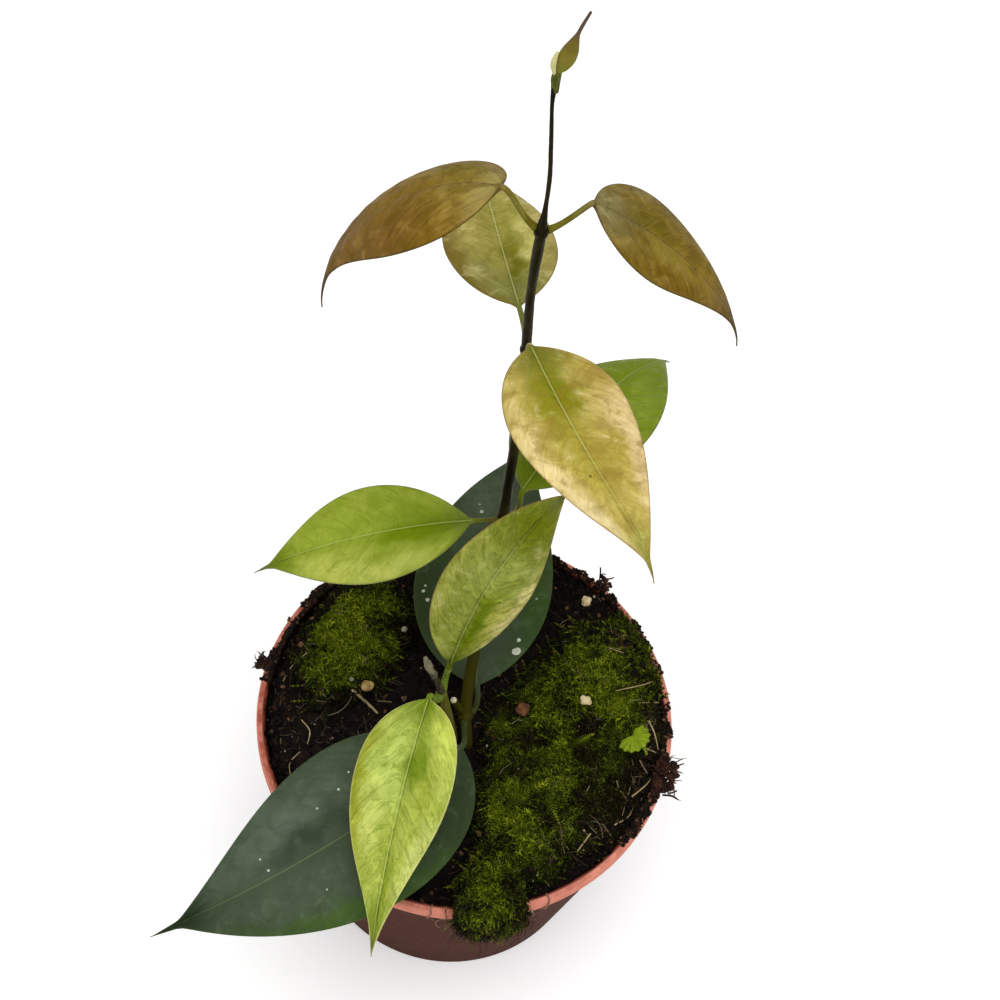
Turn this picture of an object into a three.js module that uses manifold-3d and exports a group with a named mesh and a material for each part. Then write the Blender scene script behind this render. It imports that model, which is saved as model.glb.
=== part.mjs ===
// A young climbing wax plant in a 12 cm nursery pot. Millimetres, +Z up.
// The origin is the centre of the pot's underside. The plant's front faces -Y.

import * as THREE from 'three';
import { mergeVertices } from 'three/addons/utils/BufferGeometryUtils.js';
import Module from 'manifold-3d';

const wasm = await Module();
wasm.setup();

// Pot: the nominal 12 cm size, with a thin wall and a narrow rounded lip
const potTopRadius = 60;
const potHeight = 92;
const potFootRadius = 43;
const potWall = 1.5;
const lipHeight = 5;
const lipStep = 0.9;
const lipGroove = 0.5;
const floorRaise = 1.8;
const floorThickness = 1.5;
const footWidth = 5;
const padRadius = 22;
const drainHoles = 8;
const drainHoleRadius = 3.5;
const drainCircle = 30;
const potSegments = 48;

// Gap between pieces that touch
const seat = 0.3;
const softSeat = 0.5;

// Peat and moss
const soilLevel = 84;
const soilTiltX = 0.03;
const soilTiltY = 0.02;
const soilBank = 4;
const mossThicknessLeft = 4.2;
const mossThicknessRight = 5;
const mossEdge = 0.9;
const heapCentre = [14, -49];
const heapHeight = 4.5;
const heapSpread = 8;
const shootRadius = 0.75;
const shootRoot = 1.2;

// Leaf blades: thickness at the midrib and at the margin, and the number of steps along a spine
const bladeThickness = 1.3;
const marginThickness = 0.7;
const spineSteps = 28;
const bladeRows = [0, 1, 2, 4, 6, 8, 10, 12, 14, 16, 18, 20, 22, 24, 26, 27, 28];
const bladeColumns = 6;
const oldStalkRadius = 0.9;
const youngStalkRadius = 0.7;
const ribDepth = 0.5;

// Leaf nodes on the two stems: the radius of each swelling, and how steeply its stalks leave it
const nodes = {
  old: { at: [0, -1, 94], knob: 2.2, lift: 10, stalk: oldStalkRadius },
  second: { at: [-7.5, -3, 110], knob: 1.8, lift: 35, stalk: oldStalkRadius },
  first: { at: [2.5, 30, 155.5], knob: 1.9, lift: 20, stalk: youngStalkRadius },
  middle: { at: [2.5, 36, 228.5], knob: 1.7, lift: 25, stalk: youngStalkRadius },
  top: { at: [2, 38, 273], knob: 1.8, lift: 28, stalk: youngStalkRadius },
};

// Leaves. base is where the blade starts. heading turns from +X and pitch rises from level; arch is
// how far the blade bends down over its length, curl how far its last third bends down more, swing
// how far it turns sideways. roll and twist turn it about its midrib, fold lifts both halves and cup
// drops their margins. aside turns the start of the stalk away from the straight way to the base.
// round and taper shape the outline at its base and tip, and tail is the share of the length that
// the drip tip takes. Angles are in degrees.
const leaves = {
  leaf_dark_front: {
    node: 'old', base: [0, -12.5, 97.5], heading: 236.5, pitch: 15, arch: 59, curl: 0, swing: -42,
    roll: 5, twist: -1, fold: 7, cup: 0.12, length: 108, width: 48,
    round: 0.68, taper: 1.12, tail: 0.16, wave: 0.3, colour: 0x24382c,
  },
  leaf_dark_back: {
    node: 'old', aside: -32, base: [2, 6.5, 100], heading: 98, pitch: 5, arch: 20, curl: 22, swing: -28,
    roll: 3, twist: 4, fold: 11, cup: 0.1, length: 94, width: 41,
    round: 0.68, taper: 1.24, tail: 0.12, wave: 0.3, colour: 0x2b4034,
  },
  leaf_lime_front: {
    node: 'second', base: [-10.5, -12, 125], heading: -99, pitch: -11, arch: 15, curl: 24, swing: 9,
    roll: -17, twist: -4, fold: 14, cup: 0.1, length: 71, width: 30,
    round: 0.66, taper: 1.34, tail: 0.08, wave: 0.5, colour: 0xa9bf45,
  },
  leaf_mottled_upright: {
    node: 'second', aside: 25, base: [-6, -0.5, 126], heading: 59, pitch: 75, arch: 35, curl: 10, swing: -22,
    roll: -38, twist: -12, fold: 6, cup: 0.18, length: 68, width: 25,
    round: 0.78, taper: 0.94, tail: 0.05, wave: 0.3, colour: 0x8e9c48,
  },
  leaf_green_left: {
    node: 'first', base: [-5.5, 25.5, 160], heading: 197.5, pitch: 6.5, arch: 51.5, curl: 0, swing: -7,
    roll: 6.5, twist: 4, fold: 7, cup: 0.12, length: 63.7, width: 27.6,
    round: 0.92, taper: 1.14, tail: 0.14, wave: 0.2, colour: 0x7d9b3a,
  },
  leaf_green_right: {
    node: 'first', base: [7, 32, 169], heading: 64, pitch: 9, arch: 47, curl: 22, swing: -11.5,
    roll: 17.5, twist: -1, fold: 4, cup: 0.18, length: 77.5, width: 38,
    round: 0.84, taper: 1.22, tail: 0.12, wave: 0.2, colour: 0x5e8a2c,
  },
  leaf_cream: {
    node: 'middle', base: [3.5, 28.5, 240.5], heading: -64.5, pitch: 9, arch: 8, curl: 75, swing: 12,
    roll: -2, twist: -2, fold: 13, cup: 0.1, length: 70, width: 29.4,
    round: 0.7, taper: 1.14, tail: 0.14, wave: 0.5, colour: 0xc0a96a,
  },
  leaf_olive_back: {
    node: 'middle', base: [-1, 49.5, 227.5], heading: 109, pitch: -8, arch: 25, curl: 20, swing: -9,
    roll: -1, twist: 1, fold: 6, cup: 0.12, length: 66, width: 29,
    round: 0.72, taper: 1.18, tail: 0.12, wave: 0.3, colour: 0x96a04c,
  },
  leaf_bronze_left: {
    node: 'top', base: [-8.5, 40.5, 284], heading: 165, pitch: -19, arch: 71, curl: 7, swing: 47.5,
    roll: -15, twist: 0, fold: 4, cup: 0.34, length: 74, width: 33.8,
    round: 0.58, taper: 1.5, tail: 0.25, wave: 0.2, colour: 0x735a30,
  },
  leaf_bronze_right: {
    node: 'top', base: [13, 44, 278.5], heading: 3, pitch: -26.5, arch: 37, curl: 24.5, swing: -21,
    roll: 8, twist: -4, fold: 4, cup: 0.16, length: 60, width: 26,
    round: 0.64, taper: 1.5, tail: 0.2, wave: 0.2, colour: 0x6c5c32,
  },
};

// Stems as points with a radius: [x, y, z, radius]
const mainStem = [
  [1.8, -7, 58, 1.6], [1.6, -5.5, 84, 1.7], [0, -1, 94, 1.7], [-0.2, 8, 111, 1.6],
  [1.1, 18, 129, 1.5], [2.5, 30, 155.5, 1.5], [2.9, 33.5, 191, 1.3], [2.5, 36, 228.5, 1.3],
  [2.2, 37, 251, 1.15], [2, 38, 273, 1.25], [1.7, 38.6, 281, 0.6], [1.4, 39.5, 303.5, 0.5],
  [0.8, 40.6, 315, 0.5], [0.5, 41, 320, 0.85], [0.5, 41, 323, 0.8],
];
const cutStub = [[-0.6, -1, 95, 1], [-2.2, -1.2, 99.5, 1], [-3.9, -1.5, 104.5, 1]];
const secondStem = [[-2.6, -6, 60, 1.4], [-2.7, -4.5, 84, 1.4], [-4.6, -4, 97, 1.4], [-7.2, -3, 110, 1.4]];
const mainSteps = 36;
const secondSteps = 8;
const stemSides = 8;
const deadTwig = [[-7.2, -3, 110, 1.1], [-9.4, -2.4, 118, 0.9], [-11.8, -1.6, 124, 1.1], [-13, -1.2, 128, 0.6]];

// Closed pair of new leaves at the shoot's end: [x, y, z, half width, half thickness]
const budLarge = [
  [0.9, 41, 323.5, 0.6, 0.6], [1.5, 41, 325.3, 1.45, 1], [2.1, 41, 327.8, 1.95, 1.3],
  [2.7, 41, 330.5, 1.75, 1.2], [3.2, 41, 333, 1.1, 0.8], [3.7, 41, 335.4, 0.5, 0.5],
  [4.4, 41, 338.2, 0.4, 0.4], [5.6, 41, 342.2, 0.3, 0.3],
];
const budSmall = [
  [-0.5, 40.3, 323.4, 0.35, 0.3], [-0.4, 40.2, 325.8, 0.6, 0.35], [-0.3, 40.2, 328, 0.6, 0.35],
  [0.1, 40.3, 330, 0.3, 0.3],
];

// Moss outlines, seen from above
const mossLeftOutline = [
  [-45, 33], [-34, 41], [-21, 38], [-17, 27], [-24, 13], [-33, 2], [-43, -2], [-49, 3], [-53, 15],
  [-50, 26],
];
const mossRightOutline = [
  [6, -11], [6, 3], [12, 13], [20, 26], [31, 37], [40, 36], [47, 31], [53, 18], [56, 3], [53, -14],
  [48, -26], [40, -32], [31, -37], [27, -45], [16, -52], [5, -50], [7, -38], [8, -25],
];
const mossLeftCentre = [-35, 20];
const mossRightCentre = [30, -8];

// The tongue of moss over the lip: [radius, height, thickness, half angle in degrees]
const tongueAngle = -76;
const tongue = [
  [47, 90.5, 5, 9], [54, 93.5, 4.2, 10.5], [58.6, 94.2, 3.2, 10.5], [61.5, 93, 2.8, 10.5],
  [62.1, 89, 2.6, 9.5], [61.9, 83.5, 1.8, 5],
];

// Grit, husk and bark that lie on the moss and the peat: [x, y, length, width, height]
const chips = {
  chip_right: { place: [31, 43.5], size: [4, 3, 2.6], colour: 0xd9cda4, seed: 11 },
  chip_left: { place: [-15, 27.5], size: [4, 3, 2.6], colour: 0xc9a67c, seed: 12 },
  chip_moss: { place: [34, 10], size: [3.2, 3.6, 2.6], colour: 0xdcc69a, seed: 13 },
  husk: { place: [-29.5, 7], size: [2.6, 4.6, 2.4], colour: 0xb59a66, seed: 14 },
  bark_chip: { place: [16, 5], size: [4, 5.5, 2.4], colour: 0x6e4526, seed: 15 },
};

// Lumps of peat and root that lie on the lip and reach past it
const crumbs = {
  crumb_left: { angle: 173, reach: 60.5, size: [5, 5, 2.6], prongs: 2, seed: 21 },
  crumb_right: { angle: -11, reach: 59.5, size: [8, 13, 4], prongs: 4, seed: 22 },
  crumb_back: { angle: 54, reach: 60, size: [5, 5, 2.4], prongs: 2, seed: 23 },
};

const seedling = { root: [53, -5], leaf: [48.5, -1.5], rise: 4.5, radius: 3.9, thickness: 0.7, stalk: 0.45 };

const group = new THREE.Group();
const rad = THREE.MathUtils.degToRad;
const point = ([x, y, z]) => new THREE.Vector3(x, y, z);

// Random numbers from a seed, so that every build is the same
function seeded(seed) {
  let state = seed;
  return () => {
    state = (state * 1664525 + 1013904223) % 4294967296;
    return state / 4294967296;
  };
}

// One closed body: shared corners merged, slivers dropped, faces turned outwards
function closedBody(geometry) {
  geometry.deleteAttribute('normal');
  geometry.deleteAttribute('uv');
  const merged = mergeVertices(geometry, 1e-4);
  const at = merged.getAttribute('position');
  const corners = merged.getIndex().array;
  const kept = [];
  let volume = 0;
  const [a, b, c] = [new THREE.Vector3(), new THREE.Vector3(), new THREE.Vector3()];
  for (let i = 0; i < corners.length; i += 3) {
    const [p, q, r] = [corners[i], corners[i + 1], corners[i + 2]];
    if (p === q || q === r || r === p) continue;
    kept.push(p, q, r);
    a.fromBufferAttribute(at, p);
    b.fromBufferAttribute(at, q);
    c.fromBufferAttribute(at, r);
    volume += a.dot(b.cross(c));
  }
  if (volume < 0) kept.reverse();
  merged.setIndex(kept);
  return merged;
}

function toSolid(geometry) {
  const body = closedBody(geometry);
  return new wasm.Manifold(new wasm.Mesh({
    numProp: 3,
    vertProperties: new Float32Array(body.getAttribute('position').array),
    triVerts: new Uint32Array(body.getIndex().array),
  }));
}

function fromSolid(solid) {
  const mesh = solid.getMesh();
  const geometry = new THREE.BufferGeometry();
  geometry.setAttribute('position', new THREE.BufferAttribute(mesh.vertProperties, 3));
  geometry.setIndex(new THREE.BufferAttribute(mesh.triVerts, 1));
  return geometry;
}

function fuse(geometries) {
  const [first, ...rest] = geometries.map(toSolid);
  return fromSolid(rest.reduce((body, piece) => body.add(piece), first));
}

// Skin over a row of rings with the same number of points, which turn right-handed about the way
// the row runs. The quads from column mirrorFrom on are split the other way, so that the two faces
// of a thin blade have the same triangles.
function skin(rings, mirrorFrom = Infinity) {
  const count = rings[0].length;
  const positions = rings.flat().flatMap((p) => [p.x, p.y, p.z]);
  const index = [];
  for (let row = 0; row + 1 < rings.length; row += 1) {
    for (let k = 0; k < count; k += 1) {
      const [a, b] = [row * count + k, row * count + (k + 1) % count];
      const [c, d] = [a + count, b + count];
      if (k < mirrorFrom) index.push(a, b, c, b, d, c);
      else index.push(a, b, d, a, d, c);
    }
  }
  const last = (rings.length - 1) * count;
  for (let k = 1; k + 1 < count; k += 1) {
    index.push(0, k + 1, k, last, last + k, last + k + 1);
  }
  const geometry = new THREE.BufferGeometry();
  geometry.setAttribute('position', new THREE.Float32BufferAttribute(positions, 3));
  geometry.setIndex(index);
  return geometry;
}

// Rod through points that each have a radius, or a half width along level and a half thickness
function rod(stations, steps, sides, grow = 0, level = new THREE.Vector3(1, 0, 0)) {
  const curve = new THREE.CatmullRomCurve3(stations.map(point));
  const rings = [];
  for (let i = 0; i <= steps; i += 1) {
    const centre = curve.getPointAt(i / steps);
    const tangent = curve.getTangentAt(i / steps);
    const along = curve.getUtoTmapping(i / steps) * (stations.length - 1);
    const low = Math.min(Math.floor(along), stations.length - 2);
    const share = along - low;
    const [wide, thick] = [3, 4].map((slot) => {
      const [from, to] = [stations[low][slot], stations[low + 1][slot]];
      return from === undefined ? undefined : from + (to - from) * share + grow;
    });
    const outwards = tangent.clone().cross(level).normalize();
    const across = outwards.clone().cross(tangent);
    rings.push(Array.from({ length: sides }, (_, k) => {
      const turn = (2 * Math.PI * k) / sides;
      return centre.clone()
        .addScaledVector(across, Math.cos(turn) * wide)
        .addScaledVector(outwards, Math.sin(turn) * (thick ?? wide));
    }));
  }
  return skin(rings);
}

function knobAt({ at, knob }, stretch = 1.15) {
  return new THREE.SphereGeometry(knob, 10, 6).scale(1, 1, stretch).translate(...at);
}

// Pot

function innerRadius(z) {
  const low = floorRaise + floorThickness;
  const share = (z - low) / (potHeight - low);
  const bottom = potFootRadius - potWall;
  const top = potTopRadius - lipStep - potWall;
  return bottom + (top - bottom) * share;
}

function makePot() {
  const bodyTop = potTopRadius - lipStep;
  const lipStart = potHeight - lipHeight;
  const bodyAtLip = bodyTop - (bodyTop - potFootRadius) * (lipHeight / potHeight);
  const innerTop = innerRadius(potHeight - 1);
  const floorTop = floorRaise + floorThickness;
  const profile = [
    [0, 0], [padRadius, 0], [padRadius + 1, floorRaise], [potFootRadius - footWidth - 1, floorRaise],
    [potFootRadius - footWidth, 0], [potFootRadius - 0.5, 0], [potFootRadius, 0.6],
    [bodyAtLip, lipStart], [potTopRadius - 0.2, lipStart + 0.4], [potTopRadius - 0.2, lipStart + 1.1],
    [potTopRadius - lipGroove, lipStart + 1.5], [potTopRadius, lipStart + 2],
    [potTopRadius, potHeight - 1], [potTopRadius - 0.5, potHeight - 0.2],
    [potTopRadius - 1.2, potHeight], [innerTop + 0.4, potHeight - 0.3], [innerTop, potHeight - 1],
    [innerRadius(floorTop), floorTop], [0, floorTop],
  ].map(([r, z]) => new THREE.Vector2(r, z));
  const lathe = new THREE.LatheGeometry(profile, potSegments).rotateX(Math.PI / 2);
  let body = toSolid(lathe);
  for (let i = 0; i < drainHoles; i += 1) {
    const angle = (2 * Math.PI * (i + 0.5)) / drainHoles;
    const hole = new THREE.CylinderGeometry(drainHoleRadius, drainHoleRadius, 6, 12)
      .rotateX(Math.PI / 2)
      .translate(drainCircle * Math.cos(angle), drainCircle * Math.sin(angle), floorTop - 1);
    body = body.subtract(toSolid(hole));
  }
  return fromSolid(body);
}

// Peat and moss

function soilTop(x, y) {
  const lumps = 0.6 * Math.sin(0.11 * x + 1.3) * Math.cos(0.09 * y)
    + 0.25 * Math.sin(0.13 * x - 0.12 * y);
  const bank = soilBank * (Math.hypot(x, y) / potTopRadius) ** 4;
  return soilLevel + soilTiltX * x + soilTiltY * y + lumps + bank;
}

function mossHeap(x, y) {
  const away = (x - heapCentre[0]) ** 2 + (y - heapCentre[1]) ** 2;
  return heapHeight * Math.exp(-away / (2 * heapSpread ** 2));
}

function mossTop(x, y, share, thickness) {
  const tufts = 0.5 * Math.sin(0.55 * x + 0.8) * Math.sin(0.5 * y) + 0.35 * Math.cos(0.8 * x + 0.6 * y);
  const body = (thickness - mossEdge + mossHeap(x, y) + tufts) * (1 - share ** 4);
  return soilTop(x, y) + softSeat + mossEdge + body;
}

// Closed body between two heights over an outline that its centre sees all of
function mound(centre, rim, shares, top, bottom, footShares = [1], footRim = rim) {
  const count = rim.length;
  const layer = (edge, height, share, k) => {
    const x = centre[0] + (edge[k][0] - centre[0]) * share;
    const y = centre[1] + (edge[k][1] - centre[1]) * share;
    return new THREE.Vector3(x, y, height(x, y, share));
  };
  const rings = [];
  for (const share of footShares) rings.push(rim.map((_, k) => layer(footRim, bottom, share, k)));
  for (const share of [...shares].reverse()) rings.push(rim.map((_, k) => layer(rim, top, share, k)));
  const positions = rings.flat().flatMap((p) => [p.x, p.y, p.z]);
  const low = rings.length * count;
  positions.push(...centre, bottom(...centre, 0), ...centre, top(...centre, 0));
  const index = [];
  for (let row = 0; row + 1 < rings.length; row += 1) {
    for (let k = 0; k < count; k += 1) {
      const [a, b] = [row * count + k, row * count + (k + 1) % count];
      index.push(a, b, a + count, b, b + count, a + count);
    }
  }
  const lastRow = (rings.length - 1) * count;
  for (let k = 0; k < count; k += 1) {
    const next = (k + 1) % count;
    index.push(low, next, k, low + 1, lastRow + k, lastRow + next);
  }
  const geometry = new THREE.BufferGeometry();
  geometry.setAttribute('position', new THREE.Float32BufferAttribute(positions, 3));
  geometry.setIndex(index);
  return geometry;
}

function makeSoil() {
  const floor = floorRaise + floorThickness + seat;
  const circle = (radiusAt) => Array.from({ length: potSegments }, (_, k) => {
    const angle = (2 * Math.PI * k) / potSegments;
    const [x, y] = [Math.cos(angle), Math.sin(angle)];
    const radius = radiusAt(x, y);
    return [x * radius, y * radius];
  });
  const topRim = circle((x, y) => innerRadius(soilTop(x * potTopRadius, y * potTopRadius) - 1) - seat);
  const footRim = circle(() => innerRadius(floor) - seat);
  const body = mound([0, 0], topRim, [0.25, 0.5, 0.75, 0.9, 1], soilTop, () => floor, [1], footRim);
  let solid = toSolid(body);
  for (const [stem, steps] of [[mainStem, mainSteps], [secondStem, secondSteps]]) {
    const [foot] = stem;
    solid = solid.subtract(toSolid(rod(stem, steps, stemSides, seat)))
      .subtract(toSolid(knobAt({ at: foot.slice(0, 3), knob: foot[3] + seat }, 1)));
  }
  return fromSolid(solid);
}

// Smooth outline, drawn in where it would come nearer to the pot's wall than the moss may
function smoothOutline(corners, count) {
  const curve = new THREE.CatmullRomCurve3(corners.map(([x, y]) => new THREE.Vector3(x, y, 0)), true);
  return curve.getSpacedPoints(count).slice(0, count).map(({ x, y }) => {
    const limit = innerRadius(soilTop(x, y)) - 0.7;
    const share = Math.min(1, limit / Math.hypot(x, y));
    return [x * share, y * share];
  });
}

// One moss shoot: a slim three-sided spike that leans a little
function shoot(random, x, y, z, lean = new THREE.Vector3()) {
  const tall = 3 + 2.5 * random();
  const spike = new THREE.ConeGeometry(shootRadius, tall + shootRoot, 3)
    .rotateX(Math.PI / 2)
    .translate(0, 0, (tall - shootRoot) / 2);
  const way = new THREE.Vector3(random() - 0.5, random() - 0.5, 1.1).add(lean).normalize();
  spike.applyQuaternion(new THREE.Quaternion().setFromUnitVectors(new THREE.Vector3(0, 0, 1), way));
  return spike.translate(x, y, z);
}

const bareSpots = [
  ...Object.values(chips).map(({ place }) => [...place, 4.5]),
  [...seedling.root, 3.5],
  [58, -11, 10],
];

function mossShoots(random, rim, centre, thickness, count) {
  const shoots = [];
  while (shoots.length < count) {
    const [ex, ey] = rim[Math.floor(random() * rim.length)];
    const share = 0.93 * Math.sqrt(random());
    const [x, y] = [centre[0] + (ex - centre[0]) * share, centre[1] + (ey - centre[1]) * share];
    const bare = bareSpots.some(([bx, by, r]) => Math.hypot(x - bx, y - by) < r);
    if (!bare && Math.hypot(x, y) < 54) {
      shoots.push(shoot(random, x, y, mossTop(x, y, share, thickness)));
    }
  }
  return shoots;
}

// The tongue that hangs over the lip, bent round the pot as well as down over it
function tongueAt(share) {
  const along = share * (tongue.length - 1);
  const low = Math.min(Math.floor(along), tongue.length - 2);
  const mix = (slot) => tongue[low][slot] + (tongue[low + 1][slot] - tongue[low][slot]) * (along - low);
  const [from, to] = [tongue[Math.max(low - (along === low ? 1 : 0), 0)], tongue[low + 1]];
  const slope = Math.atan2(to[1] - from[1], to[0] - from[0]);
  return { r: mix(0), z: mix(1), thick: mix(2), half: mix(3), slope };
}

function tonguePoint(at, sideways, outwards) {
  const r = at.r - Math.sin(at.slope) * outwards;
  const angle = rad(tongueAngle + at.half * sideways);
  return new THREE.Vector3(r * Math.cos(angle), r * Math.sin(angle), at.z + Math.cos(at.slope) * outwards);
}

function makeTongue() {
  const rings = tongue.map((_, i) => {
    const at = tongueAt(i / (tongue.length - 1));
    return Array.from({ length: 10 }, (__, k) => {
      const turn = (2 * Math.PI * k) / 10;
      return tonguePoint(at, Math.cos(turn), (Math.sin(turn) * at.thick) / 2);
    });
  });
  return skin(rings);
}

function tongueShoots(random, count) {
  return Array.from({ length: count }, () => {
    const at = tongueAt(0.3 + 0.62 * random());
    const sideways = 1.4 * (random() - 0.5);
    const foot = tonguePoint(at, sideways, 0.3 * at.thick);
    const out = tonguePoint(at, sideways, 0.3 * at.thick + 1.6).sub(foot);
    out.z = Math.max(out.z, 0) - 0.9;
    return shoot(random, foot.x, foot.y, foot.z, out);
  });
}

function makeMoss(outline, centre, thickness, shootCount, seed, extra = []) {
  const random = seeded(seed);
  const rim = smoothOutline(outline, 32);
  const top = (x, y, share) => mossTop(x, y, share, thickness);
  const bottom = (x, y) => soilTop(x, y) + softSeat;
  const mat = mound(centre, rim, [0.3, 0.55, 0.75, 0.9, 1], top, bottom, [0.4, 0.7, 1]);
  return fuse([mat, ...extra, ...mossShoots(random, rim, centre, thickness, shootCount)]);
}

// Stems

function makeMainStem() {
  const knobs = ['old', 'first', 'middle', 'top'].map((name) => knobAt(nodes[name]));
  return fuse([rod(mainStem, mainSteps, stemSides), rod(cutStub, 3, 8), ...knobs]);
}

function makeSecondStem() {
  return fuse([rod(secondStem, secondSteps, stemSides), rod(deadTwig, 6, 8), knobAt(nodes.second)]);
}

// Leaves

function spineFrame(leaf, share) {
  const late = Math.max((share - 0.65) / 0.35, 0);
  const pitch = rad(leaf.pitch - leaf.arch * share - leaf.curl * late * late);
  const heading = rad(leaf.heading + leaf.swing * share);
  const roll = rad(leaf.roll + leaf.twist * share);
  const along = new THREE.Vector3(
    Math.cos(pitch) * Math.cos(heading), Math.cos(pitch) * Math.sin(heading), Math.sin(pitch),
  );
  const level = new THREE.Vector3(Math.sin(heading), -Math.cos(heading), 0);
  const above = new THREE.Vector3().crossVectors(level, along);
  const side = level.clone().multiplyScalar(Math.cos(roll)).addScaledVector(above, Math.sin(roll));
  const up = above.multiplyScalar(Math.cos(roll)).addScaledVector(level, -Math.sin(roll));
  return { along, side, up };
}

// Half the blade's width at a share of its length, as a share of half its greatest width
function outlineAt(leaf, share) {
  const bodyEnd = 1 - 0.55 * leaf.tail;
  const u = Math.min(share / bodyEnd, 1);
  const widest = leaf.round / (leaf.round + leaf.taper);
  const body = (u / widest) ** leaf.round * ((1 - u) / (1 - widest)) ** leaf.taper;
  const drip = 0.075 * Math.min(1, (1 - share) / leaf.tail) * Math.min(1, share / 0.1);
  return Math.hypot(body, drip);
}

function bladeRings(leaf) {
  const rings = [];
  const middle = point(leaf.base);
  for (let step = 0; step <= spineSteps; step += 1) {
    const share = step / spineSteps;
    const frame = spineFrame(leaf, share);
    if (bladeRows.includes(step)) rings.push(bladeRing(leaf, share, middle, frame));
    middle.addScaledVector(frame.along, leaf.length / spineSteps);
  }
  return rings;
}

function bladeRing(leaf, share, middle, frame) {
  const half = Math.max((leaf.width / 2) * outlineAt(leaf, share), 0.9 - 0.4 * share);
  const fold = rad(leaf.fold);
  const at = (column, face) => {
    const s = (2 * column) / bladeColumns - 1;
    const wave = leaf.wave * s * s * Math.sin(4 * Math.PI * share + s) * Math.sin(Math.PI * share);
    const lift = half * (Math.abs(s) * Math.sin(fold) - leaf.cup * s * s) + wave;
    const thick = marginThickness + (bladeThickness - marginThickness) * (1 - s * s);
    const rib = face < 0 && s === 0 ? ribDepth * (1 - share) : 0;
    return middle.clone()
      .addScaledVector(frame.side, half * s * Math.cos(fold))
      .addScaledVector(frame.up, lift + (face * thick) / 2 - rib);
  };
  const columns = Array.from({ length: bladeColumns + 1 }, (_, column) => column);
  return [
    ...columns.map((column) => at(column, 1)),
    ...columns.reverse().map((column) => at(column, -1)),
  ];
}

// The stalk leaves the node at its lift angle and turns into the blade near the blade's base. Its
// frame is carried back from the blade, so that the rings of both line up.
function stalkRings(leaf) {
  const { at, knob, lift, stalk } = nodes[leaf.node];
  const node = point(at);
  const base = point(leaf.base);
  const out = base.clone().sub(node).setZ(0).normalize().multiplyScalar(Math.cos(rad(lift)));
  out.applyAxisAngle(new THREE.Vector3(0, 0, 1), rad(leaf.aside ?? 0)).setZ(Math.sin(rad(lift)));
  const frame = spineFrame(leaf, 0);
  const start = node.clone().addScaledVector(out, knob + seat);
  const reach = 0.33 * start.distanceTo(base);
  const turn = start.clone().addScaledVector(out, reach);
  const neck = base.clone().addScaledVector(frame.along, -Math.min(reach, 3));
  const path = new THREE.CubicBezierCurve3(start, turn, neck, base);
  const count = 2 * (bladeColumns + 1);
  const steps = 7;
  const rings = [];
  let { along, side, up } = frame;
  for (let i = steps - 1; i >= 0; i -= 1) {
    const tangent = path.getTangentAt(i / steps);
    const bend = new THREE.Quaternion().setFromUnitVectors(along, tangent);
    side = side.clone().applyQuaternion(bend);
    up = up.clone().applyQuaternion(bend);
    along = tangent;
    const radius = stalk * (i === 0 ? 1.2 : 1);
    const centre = path.getPointAt(i / steps);
    rings.unshift(Array.from({ length: count }, (_, k) => {
      const angle = (Math.PI * (k + 0.5)) / (bladeColumns + 1);
      return centre.clone()
        .addScaledVector(side, -Math.cos(angle) * radius)
        .addScaledVector(up, Math.sin(angle) * radius);
    }));
  }
  return rings;
}

function makeLeaf(leaf) {
  return skin([...stalkRings(leaf), ...bladeRings(leaf)], bladeColumns + 1);
}

// Small things on the peat

function pebble(random, [long, wide, tall]) {
  const stone = new THREE.IcosahedronGeometry(0.5, 0);
  stone.deleteAttribute('normal');
  stone.deleteAttribute('uv');
  const body = mergeVertices(stone, 1e-4);
  const at = body.getAttribute('position');
  for (let i = 0; i < at.count; i += 1) {
    const swell = 0.88 + 0.24 * random();
    at.setXYZ(i, at.getX(i) * swell * long, at.getY(i) * swell * wide, at.getZ(i) * swell * tall);
  }
  return body;
}

// Lowers a small thing until it lies one gap above whatever is under it
function dropOn(geometry, supports) {
  const at = geometry.getAttribute('position');
  const down = new THREE.Vector3(0, 0, -1);
  let fall = Infinity;
  for (let i = 0; i < at.count; i += 1) {
    const corner = new THREE.Vector3().fromBufferAttribute(at, i);
    const [hit] = new THREE.Raycaster(corner, down).intersectObjects(supports);
    if (hit) fall = Math.min(fall, hit.distance);
  }
  return geometry.translate(0, 0, softSeat - fall);
}

function makeChip({ place: [x, y], size, seed }) {
  const random = seeded(seed);
  const stone = pebble(random, size).rotateZ(Math.PI * random());
  return dropOn(stone.translate(x, y, potHeight + 15), ['soil', 'moss_left', 'moss_right'].map(placed));
}

function makeCrumb({ angle, reach, size, prongs, seed }) {
  const random = seeded(seed);
  const lump = pebble(random, size);
  const bits = [lump];
  for (let i = 0; i < prongs; i += 1) {
    const long = 3 + 2 * random();
    const across = (i / Math.max(prongs - 1, 1) - 0.5) * size[1] * 0.6;
    bits.push(new THREE.ConeGeometry(0.8, long, 4)
      .rotateZ(-Math.PI / 2 + 0.5 * (random() - 0.5))
      .translate(size[0] * 0.3 + long / 2, across, 0));
  }
  const body = fuse(bits);
  body.computeBoundingBox();
  return body.translate(reach, 0, potHeight + seat - body.boundingBox.min.z).rotateZ(rad(angle));
}

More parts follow.
